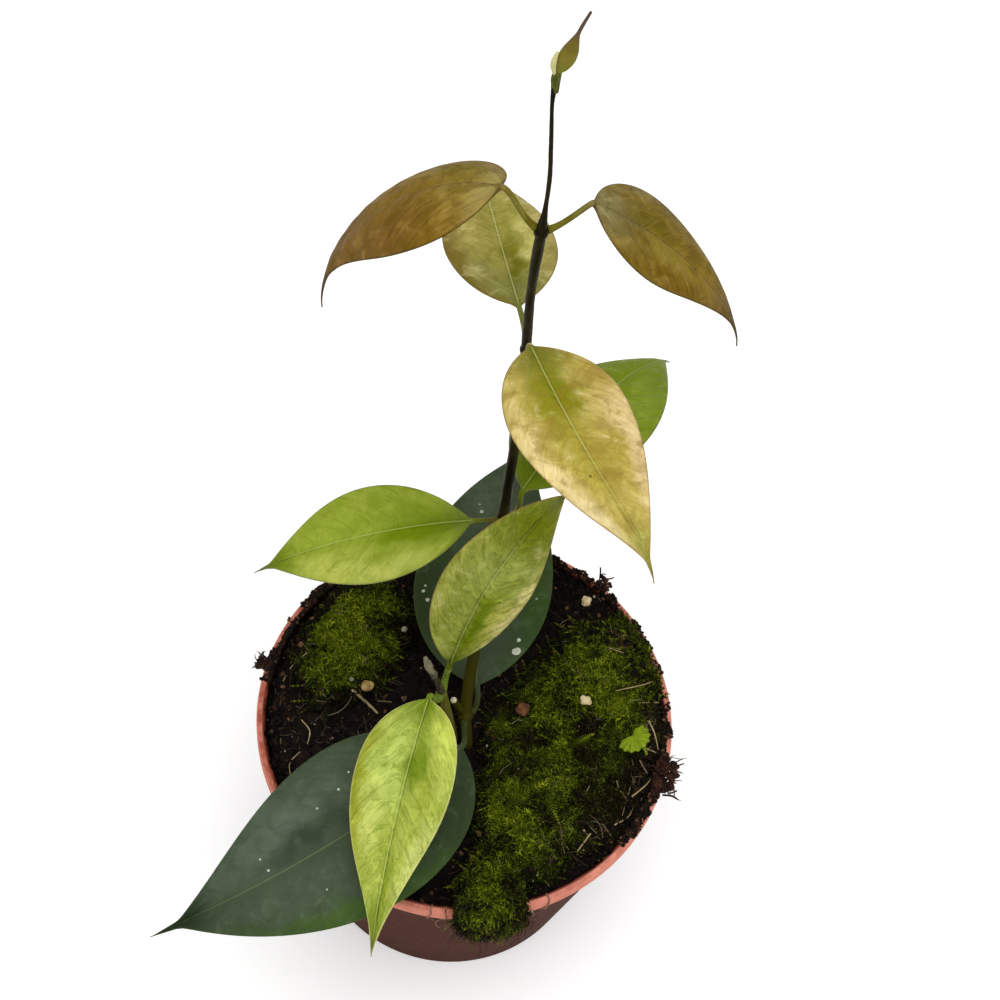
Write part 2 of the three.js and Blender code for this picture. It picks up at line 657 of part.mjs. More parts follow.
// Kidney-shaped leaf with a scalloped margin and a notch where its stalk joins
function makeSeedling() {
  const { root, leaf, rise, radius, thickness, stalk } = seedling;
  const ground = mossTop(...root, 0.9, mossThicknessRight) + softSeat;
  const notch = Math.atan2(root[1] - leaf[1], root[0] - leaf[0]);
  const outline = Array.from({ length: 36 }, (_, k) => {
    const angle = (2 * Math.PI * k) / 36;
    const cut = 0.45 * Math.exp(-((angle - Math.PI) ** 2) / 0.12);
    const scallop = 0.06 * Math.cos(angle * 9);
    const r = radius * (1 - cut + scallop);
    return new THREE.Vector2(-r * Math.cos(angle), 1.15 * r * Math.sin(angle));
  });
  const height = ground + rise;
  const blade = new THREE.ExtrudeGeometry(new THREE.Shape(outline), { depth: thickness, bevelEnabled: false })
    .translate(0, 0, -thickness / 2)
    .rotateY(0.2)
    .rotateZ(notch + Math.PI)
    .translate(leaf[0], leaf[1], height);
  const reach = 0.45 * radius;
  const join = [leaf[0] + reach * Math.cos(notch), leaf[1] + reach * Math.sin(notch), height];
  const stem = rod([
    [...root, ground, stalk], [root[0] - 0.5, root[1] + 0.5, ground + 0.6 * rise, stalk], [...join, stalk],
  ], 5, 6, 0, new THREE.Vector3(leaf[1] - root[1], root[0] - leaf[0], 0).normalize());
  return fuse([blade, stem]);
}

// The whole plant

function placed(name) {
  return group.getObjectByName(name);
}

function add(name, geometry, colour, roughness) {
  const material = new THREE.MeshStandardMaterial({ color: colour, roughness, metalness: 0 });
  const mesh = new THREE.Mesh(geometry, material);
  mesh.name = name;
  group.add(mesh);
}

add('pot', makePot(), 0xb9695a, 0.5);
add('soil', makeSoil(), 0x1c140f, 0.95);
add('moss_left', makeMoss(mossLeftOutline, mossLeftCentre, mossThicknessLeft, 40, 31), 0x2f4a10, 0.9);
add('moss_right', makeMoss(
  mossRightOutline, mossRightCentre, mossThicknessRight, 100, 32,
  [makeTongue(), ...tongueShoots(seeded(33), 16)],
), 0x35540f, 0.9);
add('main_stem', makeMainStem(), 0x2f2418, 0.6);
add('second_stem', makeSecondStem(), 0x4a4a2a, 0.6);
for (const [name, leaf] of Object.entries(leaves)) add(name, closedBody(makeLeaf(leaf)), leaf.colour, 0.35);
add('bud_leaf_large', rod(budLarge, 10, 8), 0x8f9a3f, 0.4);
add('bud_leaf_small', rod(budSmall, 5, 8), 0xc9c07a, 0.4);
add('seedling', makeSeedling(), 0x6fae2a, 0.45);
for (const [name, chip] of Object.entries(chips)) add(name, makeChip(chip), chip.colour, 0.8);
for (const [name, crumb] of Object.entries(crumbs)) add(name, makeCrumb(crumb), 0x2a1a12, 0.95);

export default group;
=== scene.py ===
# Looks of a young climbing wax plant in a 12 cm nursery pot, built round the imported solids.
import math
import random
from functools import partial

import bmesh
import bpy
import numpy as np
from mathutils import Matrix, Quaternion, Vector, noise


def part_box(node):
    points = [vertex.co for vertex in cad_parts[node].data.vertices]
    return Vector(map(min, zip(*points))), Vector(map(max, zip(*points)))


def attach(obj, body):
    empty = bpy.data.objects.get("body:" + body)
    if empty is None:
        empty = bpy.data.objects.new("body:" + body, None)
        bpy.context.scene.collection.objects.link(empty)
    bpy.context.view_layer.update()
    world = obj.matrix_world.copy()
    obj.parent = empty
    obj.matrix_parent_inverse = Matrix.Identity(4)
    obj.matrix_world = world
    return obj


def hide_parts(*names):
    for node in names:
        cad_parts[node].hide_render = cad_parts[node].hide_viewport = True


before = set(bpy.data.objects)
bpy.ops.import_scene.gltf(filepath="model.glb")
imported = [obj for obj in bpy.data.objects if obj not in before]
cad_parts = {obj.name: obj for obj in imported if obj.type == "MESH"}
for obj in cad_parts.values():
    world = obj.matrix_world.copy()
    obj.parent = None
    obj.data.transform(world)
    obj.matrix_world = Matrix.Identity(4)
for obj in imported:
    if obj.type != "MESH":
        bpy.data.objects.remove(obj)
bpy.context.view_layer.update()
mm = 0.001
noise.seed_set(7)  # vector noise takes its seed from the clock otherwise

# Camera: the photograph's long lens, looking down at the front and turned a little
camera = {"place": (1.18, -266.71, 671.05), "elevation": 59.6, "roll": 8, "lens": 79.2}


def makeCamera():
    down, roll = math.radians(camera["elevation"]), math.radians(camera["roll"])
    forward = Vector((0, math.cos(down), -math.sin(down)))
    level = Vector((1, 0, 0))
    upright = level.cross(forward)
    right = level * math.cos(roll) + upright * math.sin(roll)
    up = upright * math.cos(roll) - level * math.sin(roll)
    data = bpy.data.cameras.new("camera")
    data.lens = camera["lens"]
    data.sensor_width = 36
    holder = bpy.data.objects.new("camera", data)
    bpy.context.collection.objects.link(holder)
    holder.matrix_world = Matrix.Translation(Vector(camera["place"]) * mm) @ Matrix(
        (right, up, -forward)).transposed().to_4x4()
    bpy.context.scene.camera = holder


makeCamera()
bpy.context.scene.view_settings.view_transform = "Standard"
print("camera set")


# Colours and shader nodes

def srgb(colour):  # "#rrggbb" to linear red, green, blue, alpha
    parts = [int(colour[i:i + 2], 16) / 255 for i in (1, 3, 5)]
    return [c / 12.92 if c <= 0.04045 else ((c + 0.055) / 1.055) ** 2.4 for c in parts] + [1.0]


def addNode(tree, kind, inputs=None, out=0, stops=None, **settings):  # gives back one output of the node
    node = tree.nodes.new("ShaderNode" + kind)
    if kind == "Mix":  # all of them mix colours
        node.data_type, out = "RGBA", 2
    for name, value in settings.items():
        setattr(node, name, value)
    for socket, value in (inputs or {}).items():
        if isinstance(value, bpy.types.NodeSocket):
            tree.links.new(value, node.inputs[socket])
        else:
            node.inputs[socket].default_value = srgb(value) if isinstance(value, str) else value
    if stops:
        ramp = node.color_ramp.elements
        ramp[0].position, ramp[-1].position = stops[0][0], stops[-1][0]
        for place, _ in stops[1:-1]:
            ramp.new(place)
        for element, (_, colour) in zip(ramp, stops):
            element.color = srgb(colour)
    return node.outputs[out] if node.outputs else None


def newMaterial(name):  # an empty material and addNode for its tree
    material = bpy.data.materials.new(name)
    material.use_nodes = True
    material.node_tree.nodes.clear()
    return material, partial(addNode, material.node_tree)


def finishMaterial(material, skin):
    tree = material.node_tree
    addNode(tree, "OutputMaterial", {0: addNode(tree, "BsdfPrincipled", skin)})
    return material


def makePlain(name, scale, stops, rough, bumpHeight=0.0003):  # a mottled matt finish
    material, add = newMaterial(name)
    place = add("TexCoord", out="Object")
    drift = add("TexNoise", {"Vector": place, "Scale": scale, "Detail": 5, "Roughness": 0.65})
    colour = add("ValToRGB", {0: drift}, stops=stops)
    bump = add("Bump", {"Strength": 0.5, "Distance": bumpHeight, "Height": drift})
    return finishMaterial(material, {
        "Base Color": colour, "Roughness": rough, "Normal": bump, "Specular IOR Level": 0.2})


# Shapes

def through(points, share):  # a place on the smooth line through points that start with x, y, z
    count = len(points) - 1
    low = min(int(share * count), count - 1)
    ends = [2 * points[0] - points[1], *points, 2 * points[-1] - points[-2]]
    a, b, c, d = ends[low:low + 4]
    steps = [max(math.sqrt(np.linalg.norm((q - p)[:3])), 1e-6) for p, q in ((a, b), (b, c), (c, d))]
    t0, t1, t2, t3 = 0, steps[0], steps[0] + steps[1], sum(steps)
    t = t1 + (share * count - low) * (t2 - t1)
    ab, bc, cd = [
        (p * (high - t) + q * (t - first)) / (high - first)
        for p, q, first, high in ((a, b, t0, t1), (b, c, t1, t2), (c, d, t2, t3))
    ]
    abc = (ab * (t2 - t) + bc * (t - t0)) / (t2 - t0)
    bcd = (bc * (t3 - t) + cd * (t - t1)) / (t3 - t1)
    return (abc * (t2 - t) + bcd * (t - t1)) / (t2 - t1)


def rollGrid(rows, columns, placeAt, layers=()):
    # a grid rolled into a ring: placeAt(row, turn 0..1) gives a point in mm and values for the layers
    bm = bmesh.new()
    kept = []
    for name, kind in layers:
        kept.append(getattr(bm.verts.layers, kind).new(name))
    bmesh.ops.create_grid(bm, x_segments=columns, y_segments=rows - 1, size=0.5)
    bm.verts.ensure_lookup_table()
    for vert in bm.verts:
        row = round((vert.co.y + 0.5) * (rows - 1))
        point, *values = placeAt(row, vert.co.x + 0.5)
        vert.co = Vector(point) * mm
        for layer, value in zip(kept, values):
            vert[layer] = value
    bmesh.ops.remove_doubles(bm, verts=bm.verts, dist=1e-6)
    bmesh.ops.holes_fill(bm, edges=bm.edges, sides=0)
    bmesh.ops.recalc_face_normals(bm, faces=bm.faces)
    return bm


def rod(stations, steps, sides, bumps=0.0, level=(1, 0, 0), seed=0):
    # a rod through stations of x, y, z and radius, or x, y, z, half width along level and half thickness
    line = [np.array(s, float) for s in stations]
    rings = []
    for i in range(steps + 1):
        share = i / steps
        here = through(line, share)
        ahead = Vector(through(line, min(share + 0.01, 1))[:3] - through(line, max(share - 0.01, 0))[:3])
        outwards = ahead.normalized().cross(Vector(level)).normalized()
        rings.append((here, outwards.cross(ahead.normalized()), outwards))

    def placeAt(row, turn):
        here, across, outwards = rings[row]
        angle = 2 * math.pi * turn
        wide, thick = here[3], here[-1]
        out = across * math.cos(angle) * wide + outwards * math.sin(angle) * thick
        place = Vector(here[:3]) + out
        swell = 1 + bumps * noise.noise(place * 0.9 + Vector((seed, 0, 0)))
        return (Vector(here[:3]) + out * swell,)

    return rollGrid(steps + 1, sides, placeAt)


def finishPiece(name, bm, material, nodes=(), smooth=True):
    mesh = bpy.data.meshes.new(name)
    bm.to_mesh(mesh)
    bm.free()
    return placePiece(name, mesh, material, nodes, smooth)


def placePiece(name, mesh, material, nodes=(), smooth=True):
    piece = bpy.data.objects.new(name, mesh)
    bpy.context.collection.objects.link(piece)
    mesh.materials.append(material)
    mesh.shade_smooth() if smooth else mesh.shade_flat()
    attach(piece, "root")
    if nodes:
        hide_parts(*nodes)
    return piece


def joined(meshes):  # several bmeshes as one
    whole = bmesh.new()
    for bm in meshes:
        part = bpy.data.meshes.new("part")
        bm.to_mesh(part)
        bm.free()
        whole.from_mesh(part)
        bpy.data.meshes.remove(part)
    return whole


def scatter(name, template, places, material, nodes=(), smooth=False):
    # copies of a small triangulated template, each by a 4x4 matrix in metres, a random share and a shade
    bmesh.ops.triangulate(template, faces=template.faces)
    template.verts.ensure_lookup_table()
    points = np.array([v.co[:] for v in template.verts])
    corners = np.array([[v.index for v in f.verts] for f in template.faces])
    low, high = points[:, 2].min(), points[:, 2].max()
    tall = (points[:, 2] - low) / max(high - low, 1e-9)
    template.free()
    moves = np.array([np.array(place[0]) for place in places])
    verts = np.einsum("kij,nj->kni", moves[:, :3, :3], points) + moves[:, None, :3, 3]
    faces = corners[None] + (np.arange(len(places)) * len(points))[:, None, None]
    mesh = bpy.data.meshes.new(name)
    mesh.vertices.add(verts.shape[0] * verts.shape[1])
    mesh.vertices.foreach_set("co", verts.reshape(-1).astype(np.float32))
    mesh.loops.add(faces.size)
    mesh.loops.foreach_set("vertex_index", faces.reshape(-1).astype(np.int32))
    mesh.polygons.add(faces.size // 3)
    mesh.polygons.foreach_set("loop_start", np.arange(0, faces.size, 3, dtype=np.int32))
    mesh.update(calc_edges=True)
    values = np.zeros((verts.shape[0], verts.shape[1], 3), np.float32)
    values[:, :, 0] = tall[None]
    values[:, :, 1] = np.array([place[1] for place in places])[:, None]
    values[:, :, 2] = np.array([place[2] for place in places])[:, None]
    mesh.attributes.new("tuft", "FLOAT_VECTOR", "POINT").data.foreach_set("vector", values.reshape(-1))
    return placePiece(name, mesh, material, nodes, smooth)


def turned(place, way, twirl, size):  # matrix that stands a template at place along way, all in mm
    turn = Vector((0, 0, 1)).rotation_difference(Vector(way)) @ Quaternion((0, 0, 1), twirl)
    sizes = size if isinstance(size, tuple) else (size,) * 3
    return Matrix.LocRotScale(Vector(place) * mm, turn, Vector(sizes) * mm)


def spin(rand, most=6.28):  # any turn about its own axis
    return most * rand.random()


def polar(radius, angle, x=0, y=0):
    return x + radius * math.cos(angle), y + radius * math.sin(angle)


def ball(detail, radius=1.0):
    bm = bmesh.new()
    bmesh.ops.create_icosphere(bm, subdivisions=detail, radius=radius)
    return bm


# Pot: injection moulded polypropylene, terracotta coloured. Satin, dusty and stained by peat where it
# touched it. Its wall is painted dark as painted shade, its lip light salmon as painted light, and the
# lip's left side painted in shade.
pot = {
    "topRadius": 60, "height": 92, "footRadius": 43, "wall": 1.5, "lipHeight": 5, "lipStep": 0.9,
    "lipGroove": 0.5, "floorRaise": 1.8, "floorThickness": 1.5, "footWidth": 5, "padRadius": 22,
    "holes": 8, "holeRadius": 3.5, "holeCircle": 30, "segments": 144,
    "shadedWallColour": "#472419", "lipColour": "#d98b77", "insideColour": "#8f4637", "dustColour": "#6a5144",
    "soilColour": "#120a06",
}


def innerRadius(z):
    low = pot["floorRaise"] + pot["floorThickness"]
    bottom, top = pot["footRadius"] - pot["wall"], pot["topRadius"] - pot["lipStep"] - pot["wall"]
    return bottom + (top - bottom) * (z - low) / (pot["height"] - low)


def makePotMaterial():
    material, add = newMaterial("satinTerracottaPlastic")
    place = add("TexCoord", out="Object")
    x, y, z = add("SeparateXYZ", {0: place}).node.outputs
    away = add("VectorMath", {0: add("CombineXYZ", {0: x, 1: y})}, out="Value", operation="LENGTH")
    drift = add("TexNoise", {"Vector": place, "Scale": 45, "Detail": 5, "Roughness": 0.6})
    grime = add("TexNoise", {"Vector": place, "Scale": 260, "Detail": 4, "Roughness": 0.65})
    # painted shade and painted light: the wall is painted dark brown, as in shade, and the lip light
    # salmon, as where the light falls
    rise = add("MapRange", {0: z, 1: 0.0862, 2: 0.0876})
    body = add("Mix", {0: rise, 6: pot["shadedWallColour"], 7: pot["lipColour"]})
    streakAndShade = add("MapRange", {0: grime, 1: 0.42, 2: 0.62, 4: 0.5})
    # painted shade: the lip's left side, away from the light, is darkened towards the inside colour, added
    # to the grime streaks
    shadedLeftSide = add("MapRange", {0: x, 1: -0.056, 2: -0.03, 3: 0.4, 4: 0.0})
    streakAndShade = add("Math", {0: streakAndShade, 1: shadedLeftSide}, operation="ADD", use_clamp=True)
    topFace = add("MapRange", {0: z, 1: 0.0914, 2: 0.0918, 3: 0.35, 4: 1.0})
    soiledAndShaded = add("Math", {0: streakAndShade, 1: topFace}, operation="MULTIPLY")
    onLip = add("Math", {0: soiledAndShaded, 1: rise}, operation="MULTIPLY")
    body = add("Mix", {0: onLip, 6: body, 7: pot["insideColour"]})
    patch = add("ValToRGB", {0: drift}, stops=[(0.35, "#000000"), (0.75, "#ffffff")])
    dusty = add("Math", {0: patch, 1: 0.08}, operation="MULTIPLY")
    outside = add("Mix", {0: dusty, 6: body, 7: pot["dustColour"]})
    # inside, the wall is red near the lip and black with peat lower down
    wobble = add("Math", {0: grime, 1: 0.006, 2: z}, operation="MULTIPLY_ADD")
    peaty = add("MapRange", {0: wobble, 1: 0.0938, 2: 0.0962, 3: 1.0, 4: 0.0})
    inner = add("Mix", {0: peaty, 6: pot["insideColour"], 7: pot["soilColour"]})
    # the inner wall's radius is 41.7 mm at the foot and grows by 0.1815 of the height
    lowInside = add("Math", {0: z, 1: 0.1815}, operation="MULTIPLY")
    edge = add("Math", {0: lowInside, 1: 0.0417}, operation="ADD")
    inward = add("Math", {0: edge, 1: away}, operation="SUBTRACT")
    isInside = add("MapRange", {0: inward, 1: -0.0002, 2: 0.0003})
    colour = add("Mix", {0: isInside, 6: outside, 7: inner})
    bump = add("Bump", {"Strength": 0.35, "Distance": 0.00025, "Height": grime})
    gloss = add("MapRange", {0: grime, 3: 0.45, 4: 0.65})
    return finishMaterial(material, {
        "Base Color": colour, "Roughness": gloss, "Normal": bump, "IOR": 1.49, "Specular IOR Level": 0.005})


def makePot():
    top, height, lip = pot["topRadius"], pot["height"], pot["height"] - pot["lipHeight"]
    bodyTop = top - pot["lipStep"]
    bodyAtLip = bodyTop - (bodyTop - pot["footRadius"]) * pot["lipHeight"] / height
    floorTop = pot["floorRaise"] + pot["floorThickness"]
    inner = innerRadius(height - 1)
    foot = pot["footRadius"]
    profile = [
        (0, 0), (pot["padRadius"], 0), (pot["padRadius"] + 1, pot["floorRaise"]),
        (foot - pot["footWidth"] - 1, pot["floorRaise"]), (foot - pot["footWidth"], 0),
        (foot - 0.5, 0), (foot, 0.6), (bodyAtLip, lip), (top - 0.2, lip + 0.4), (top - 0.2, lip + 1.1),
        (top - pot["lipGroove"], lip + 1.5), (top, lip + 2), (top, height - 1),
        (top - 0.5, height - 0.2), (top - 1.2, height), (inner + 0.4, height - 0.3),
        (inner, height - 1), (innerRadius(floorTop), floorTop), (0, floorTop),
    ]
    bm = bmesh.new()
    line = [bm.verts.new((r * mm, 0, z * mm)) for r, z in profile]
    edges = [bm.edges.new(pair) for pair in zip(line, line[1:])]
    bmesh.ops.spin(bm, geom=line + edges, cent=(0, 0, 0), axis=(0, 0, 1), angle=2 * math.pi,
                   steps=pot["segments"], use_merge=True)
    bmesh.ops.remove_doubles(bm, verts=bm.verts, dist=1e-6)
    bmesh.ops.recalc_face_normals(bm, faces=bm.faces)
    piece = finishPiece("potShell", bm, makePotMaterial(), ["pot"])
    cutters = []
    for i in range(pot["holes"]):
        angle = 2 * math.pi * (i + 0.5) / pot["holes"]
        cutter = bmesh.new()
        bmesh.ops.create_cone(cutter, cap_ends=True, segments=24, radius1=pot["holeRadius"] * mm,
                              radius2=pot["holeRadius"] * mm, depth=0.006)
        bmesh.ops.translate(cutter, verts=cutter.verts,
                            vec=Vector((*polar(pot["holeCircle"], angle), floorTop - 1)) * mm)
        cutters.append(cutter)
    drill = bpy.data.objects.new("drill", bpy.data.meshes.new("drill"))
    holes = joined(cutters)
    holes.to_mesh(drill.data)
    holes.free()
    bpy.context.collection.objects.link(drill)
    cut = piece.modifiers.new("holes", "BOOLEAN")
    cut.object, cut.operation, cut.solver = drill, "DIFFERENCE", "EXACT"
    bpy.context.view_layer.update()
    shape = bpy.data.meshes.new_from_object(piece.evaluated_get(bpy.context.evaluated_depsgraph_get()))
    piece.modifiers.clear()
    piece.data = shape
    bpy.data.objects.remove(drill)
    return piece


makePot()
print("pot made")


# Peat: black, fibrous, wet. Matt, with fine crumbs, roots and grit.
peat = {
    "level": 84, "tiltX": 0.03, "tiltY": 0.02, "bank": 4, "gap": 0.3, "rings": 74, "wallRows": 12,
    "steps": 280, "heapFrom": 49, "heapWidth": 7.5, "reach": 57,
}


def soilTop(x, y):
    lumps = 0.6 * math.sin(0.11 * x + 1.3) * math.cos(0.09 * y) + 0.25 * math.sin(0.13 * x - 0.12 * y)
    return (peat["level"] + peat["tiltX"] * x + peat["tiltY"] * y + lumps
            + peat["bank"] * (math.hypot(x, y) / pot["topRadius"]) ** 4)


def rimBank(x, y):  # litter heaped against the wall, in mm
    away = min(max((math.hypot(x, y) - peat["heapFrom"]) / peat["heapWidth"], 0), 1)
    return (2.3 + 1.7 * noise.noise(Vector((x, y, 0)) * 0.07)) * away ** 2


def fineSoil(x, y):  # the peat's top with its lumps
    place = Vector((x, y, 0))
    height = (soilTop(x, y) + rimBank(x, y) + 1.1 * noise.fractal(place * 0.22, 1.0, 2.1, 3)
              + 0.55 * noise.noise(place * 0.9) - 0.3)
    return min(height, pot["height"] - 0.6)


def makePeatMaterial():
    material, add = newMaterial("wetFibrousPeat")
    place = add("TexCoord", out="Object")
    coarse = add("TexNoise", {"Vector": place, "Scale": 230, "Detail": 6, "Roughness": 0.7})
    grain = add("TexVoronoi", {"Vector": place, "Scale": 900})
    colour = add("ValToRGB", {0: coarse}, stops=[(0.35, "#050302"), (0.52, "#0f0906"), (0.66, "#22160e"),
                                                 (0.85, "#4a382a")])
    rough = add("MapRange", {0: coarse, 3: 0.6, 4: 0.95})
    height = add("Math", {0: grain, 1: 0.5, 2: coarse}, operation="MULTIPLY_ADD")
    bump = add("Bump", {"Strength": 0.9, "Distance": 0.0008, "Height": height})
    return finishMaterial(material, {
        "Base Color": colour, "Roughness": rough, "Normal": bump, "Specular IOR Level": 0.12})


peatMaterial = makePeatMaterial()


def makeSoil():
    floor = pot["floorRaise"] + pot["floorThickness"] + peat["gap"]
    rings = peat["rings"]
    wallEnd = rings + peat["wallRows"]

    def placeAt(row, turn):
        angle = 2 * math.pi * turn
        x, y = math.cos(angle), math.sin(angle)
        top = soilTop(x * pot["topRadius"], y * pot["topRadius"])
        rim = innerRadius(top - 1) - peat["gap"]
        if row <= rings:
            share = row / rings
            return ((x * rim * share, y * rim * share, fineSoil(x * rim * share, y * rim * share)),)
        if row <= wallEnd:  # down the pot's wall
            share = (row - rings) / peat["wallRows"]
            low = innerRadius(floor) - peat["gap"]
            start = fineSoil(x * rim, y * rim)
            radius = rim + (low - rim) * share
            return ((x * radius, y * radius, start + (floor - start) * share),)
        return ((0, 0, floor),)

    bm = rollGrid(wallEnd + 2, peat["steps"], placeAt)
    return finishPiece("peatBody", bm, peatMaterial, ["soil"])


makeSoil()
print("peat made")


# Leaves. The shape values are the solids'. Zones are soft patches of colour, a few of them painted sheen,
# marked where
# they stand: share along the blade, share across (-1 to 1), reach along, reach across, colour, strength.
nodes = {
    "old": {"at": (0, -1, 94), "knob": 2.2, "lift": 10, "stalk": 0.9, "stalkTint": "#3a4219"},
    "second": {"at": (-7.5, -3, 110), "knob": 1.8, "lift": 35, "stalk": 0.9, "stalkTint": "#6f8434"},
    "first": {"at": (2.5, 30, 155.5), "knob": 1.9, "lift": 20, "stalk": 0.7, "stalkTint": "#5e5526"},
    "middle": {"at": (2.5, 36, 228.5), "knob": 1.7, "lift": 25, "stalk": 0.7, "stalkTint": "#6a6c2c"},
    "top": {"at": (2, 38, 273), "knob": 1.8, "lift": 28, "stalk": 0.7, "stalkTint": "#64601f"},
}
leafShape = {"rows": 112, "columns": 64, "stalkRows": 14, "spineSteps": 28, "thickness": 1.3,
             "margin": 0.7, "rib": 0.5, "sideVeins": 11, "curlFrom": 0.65, "bodyEnd": 0.55,
             "dripWidth": 0.075}
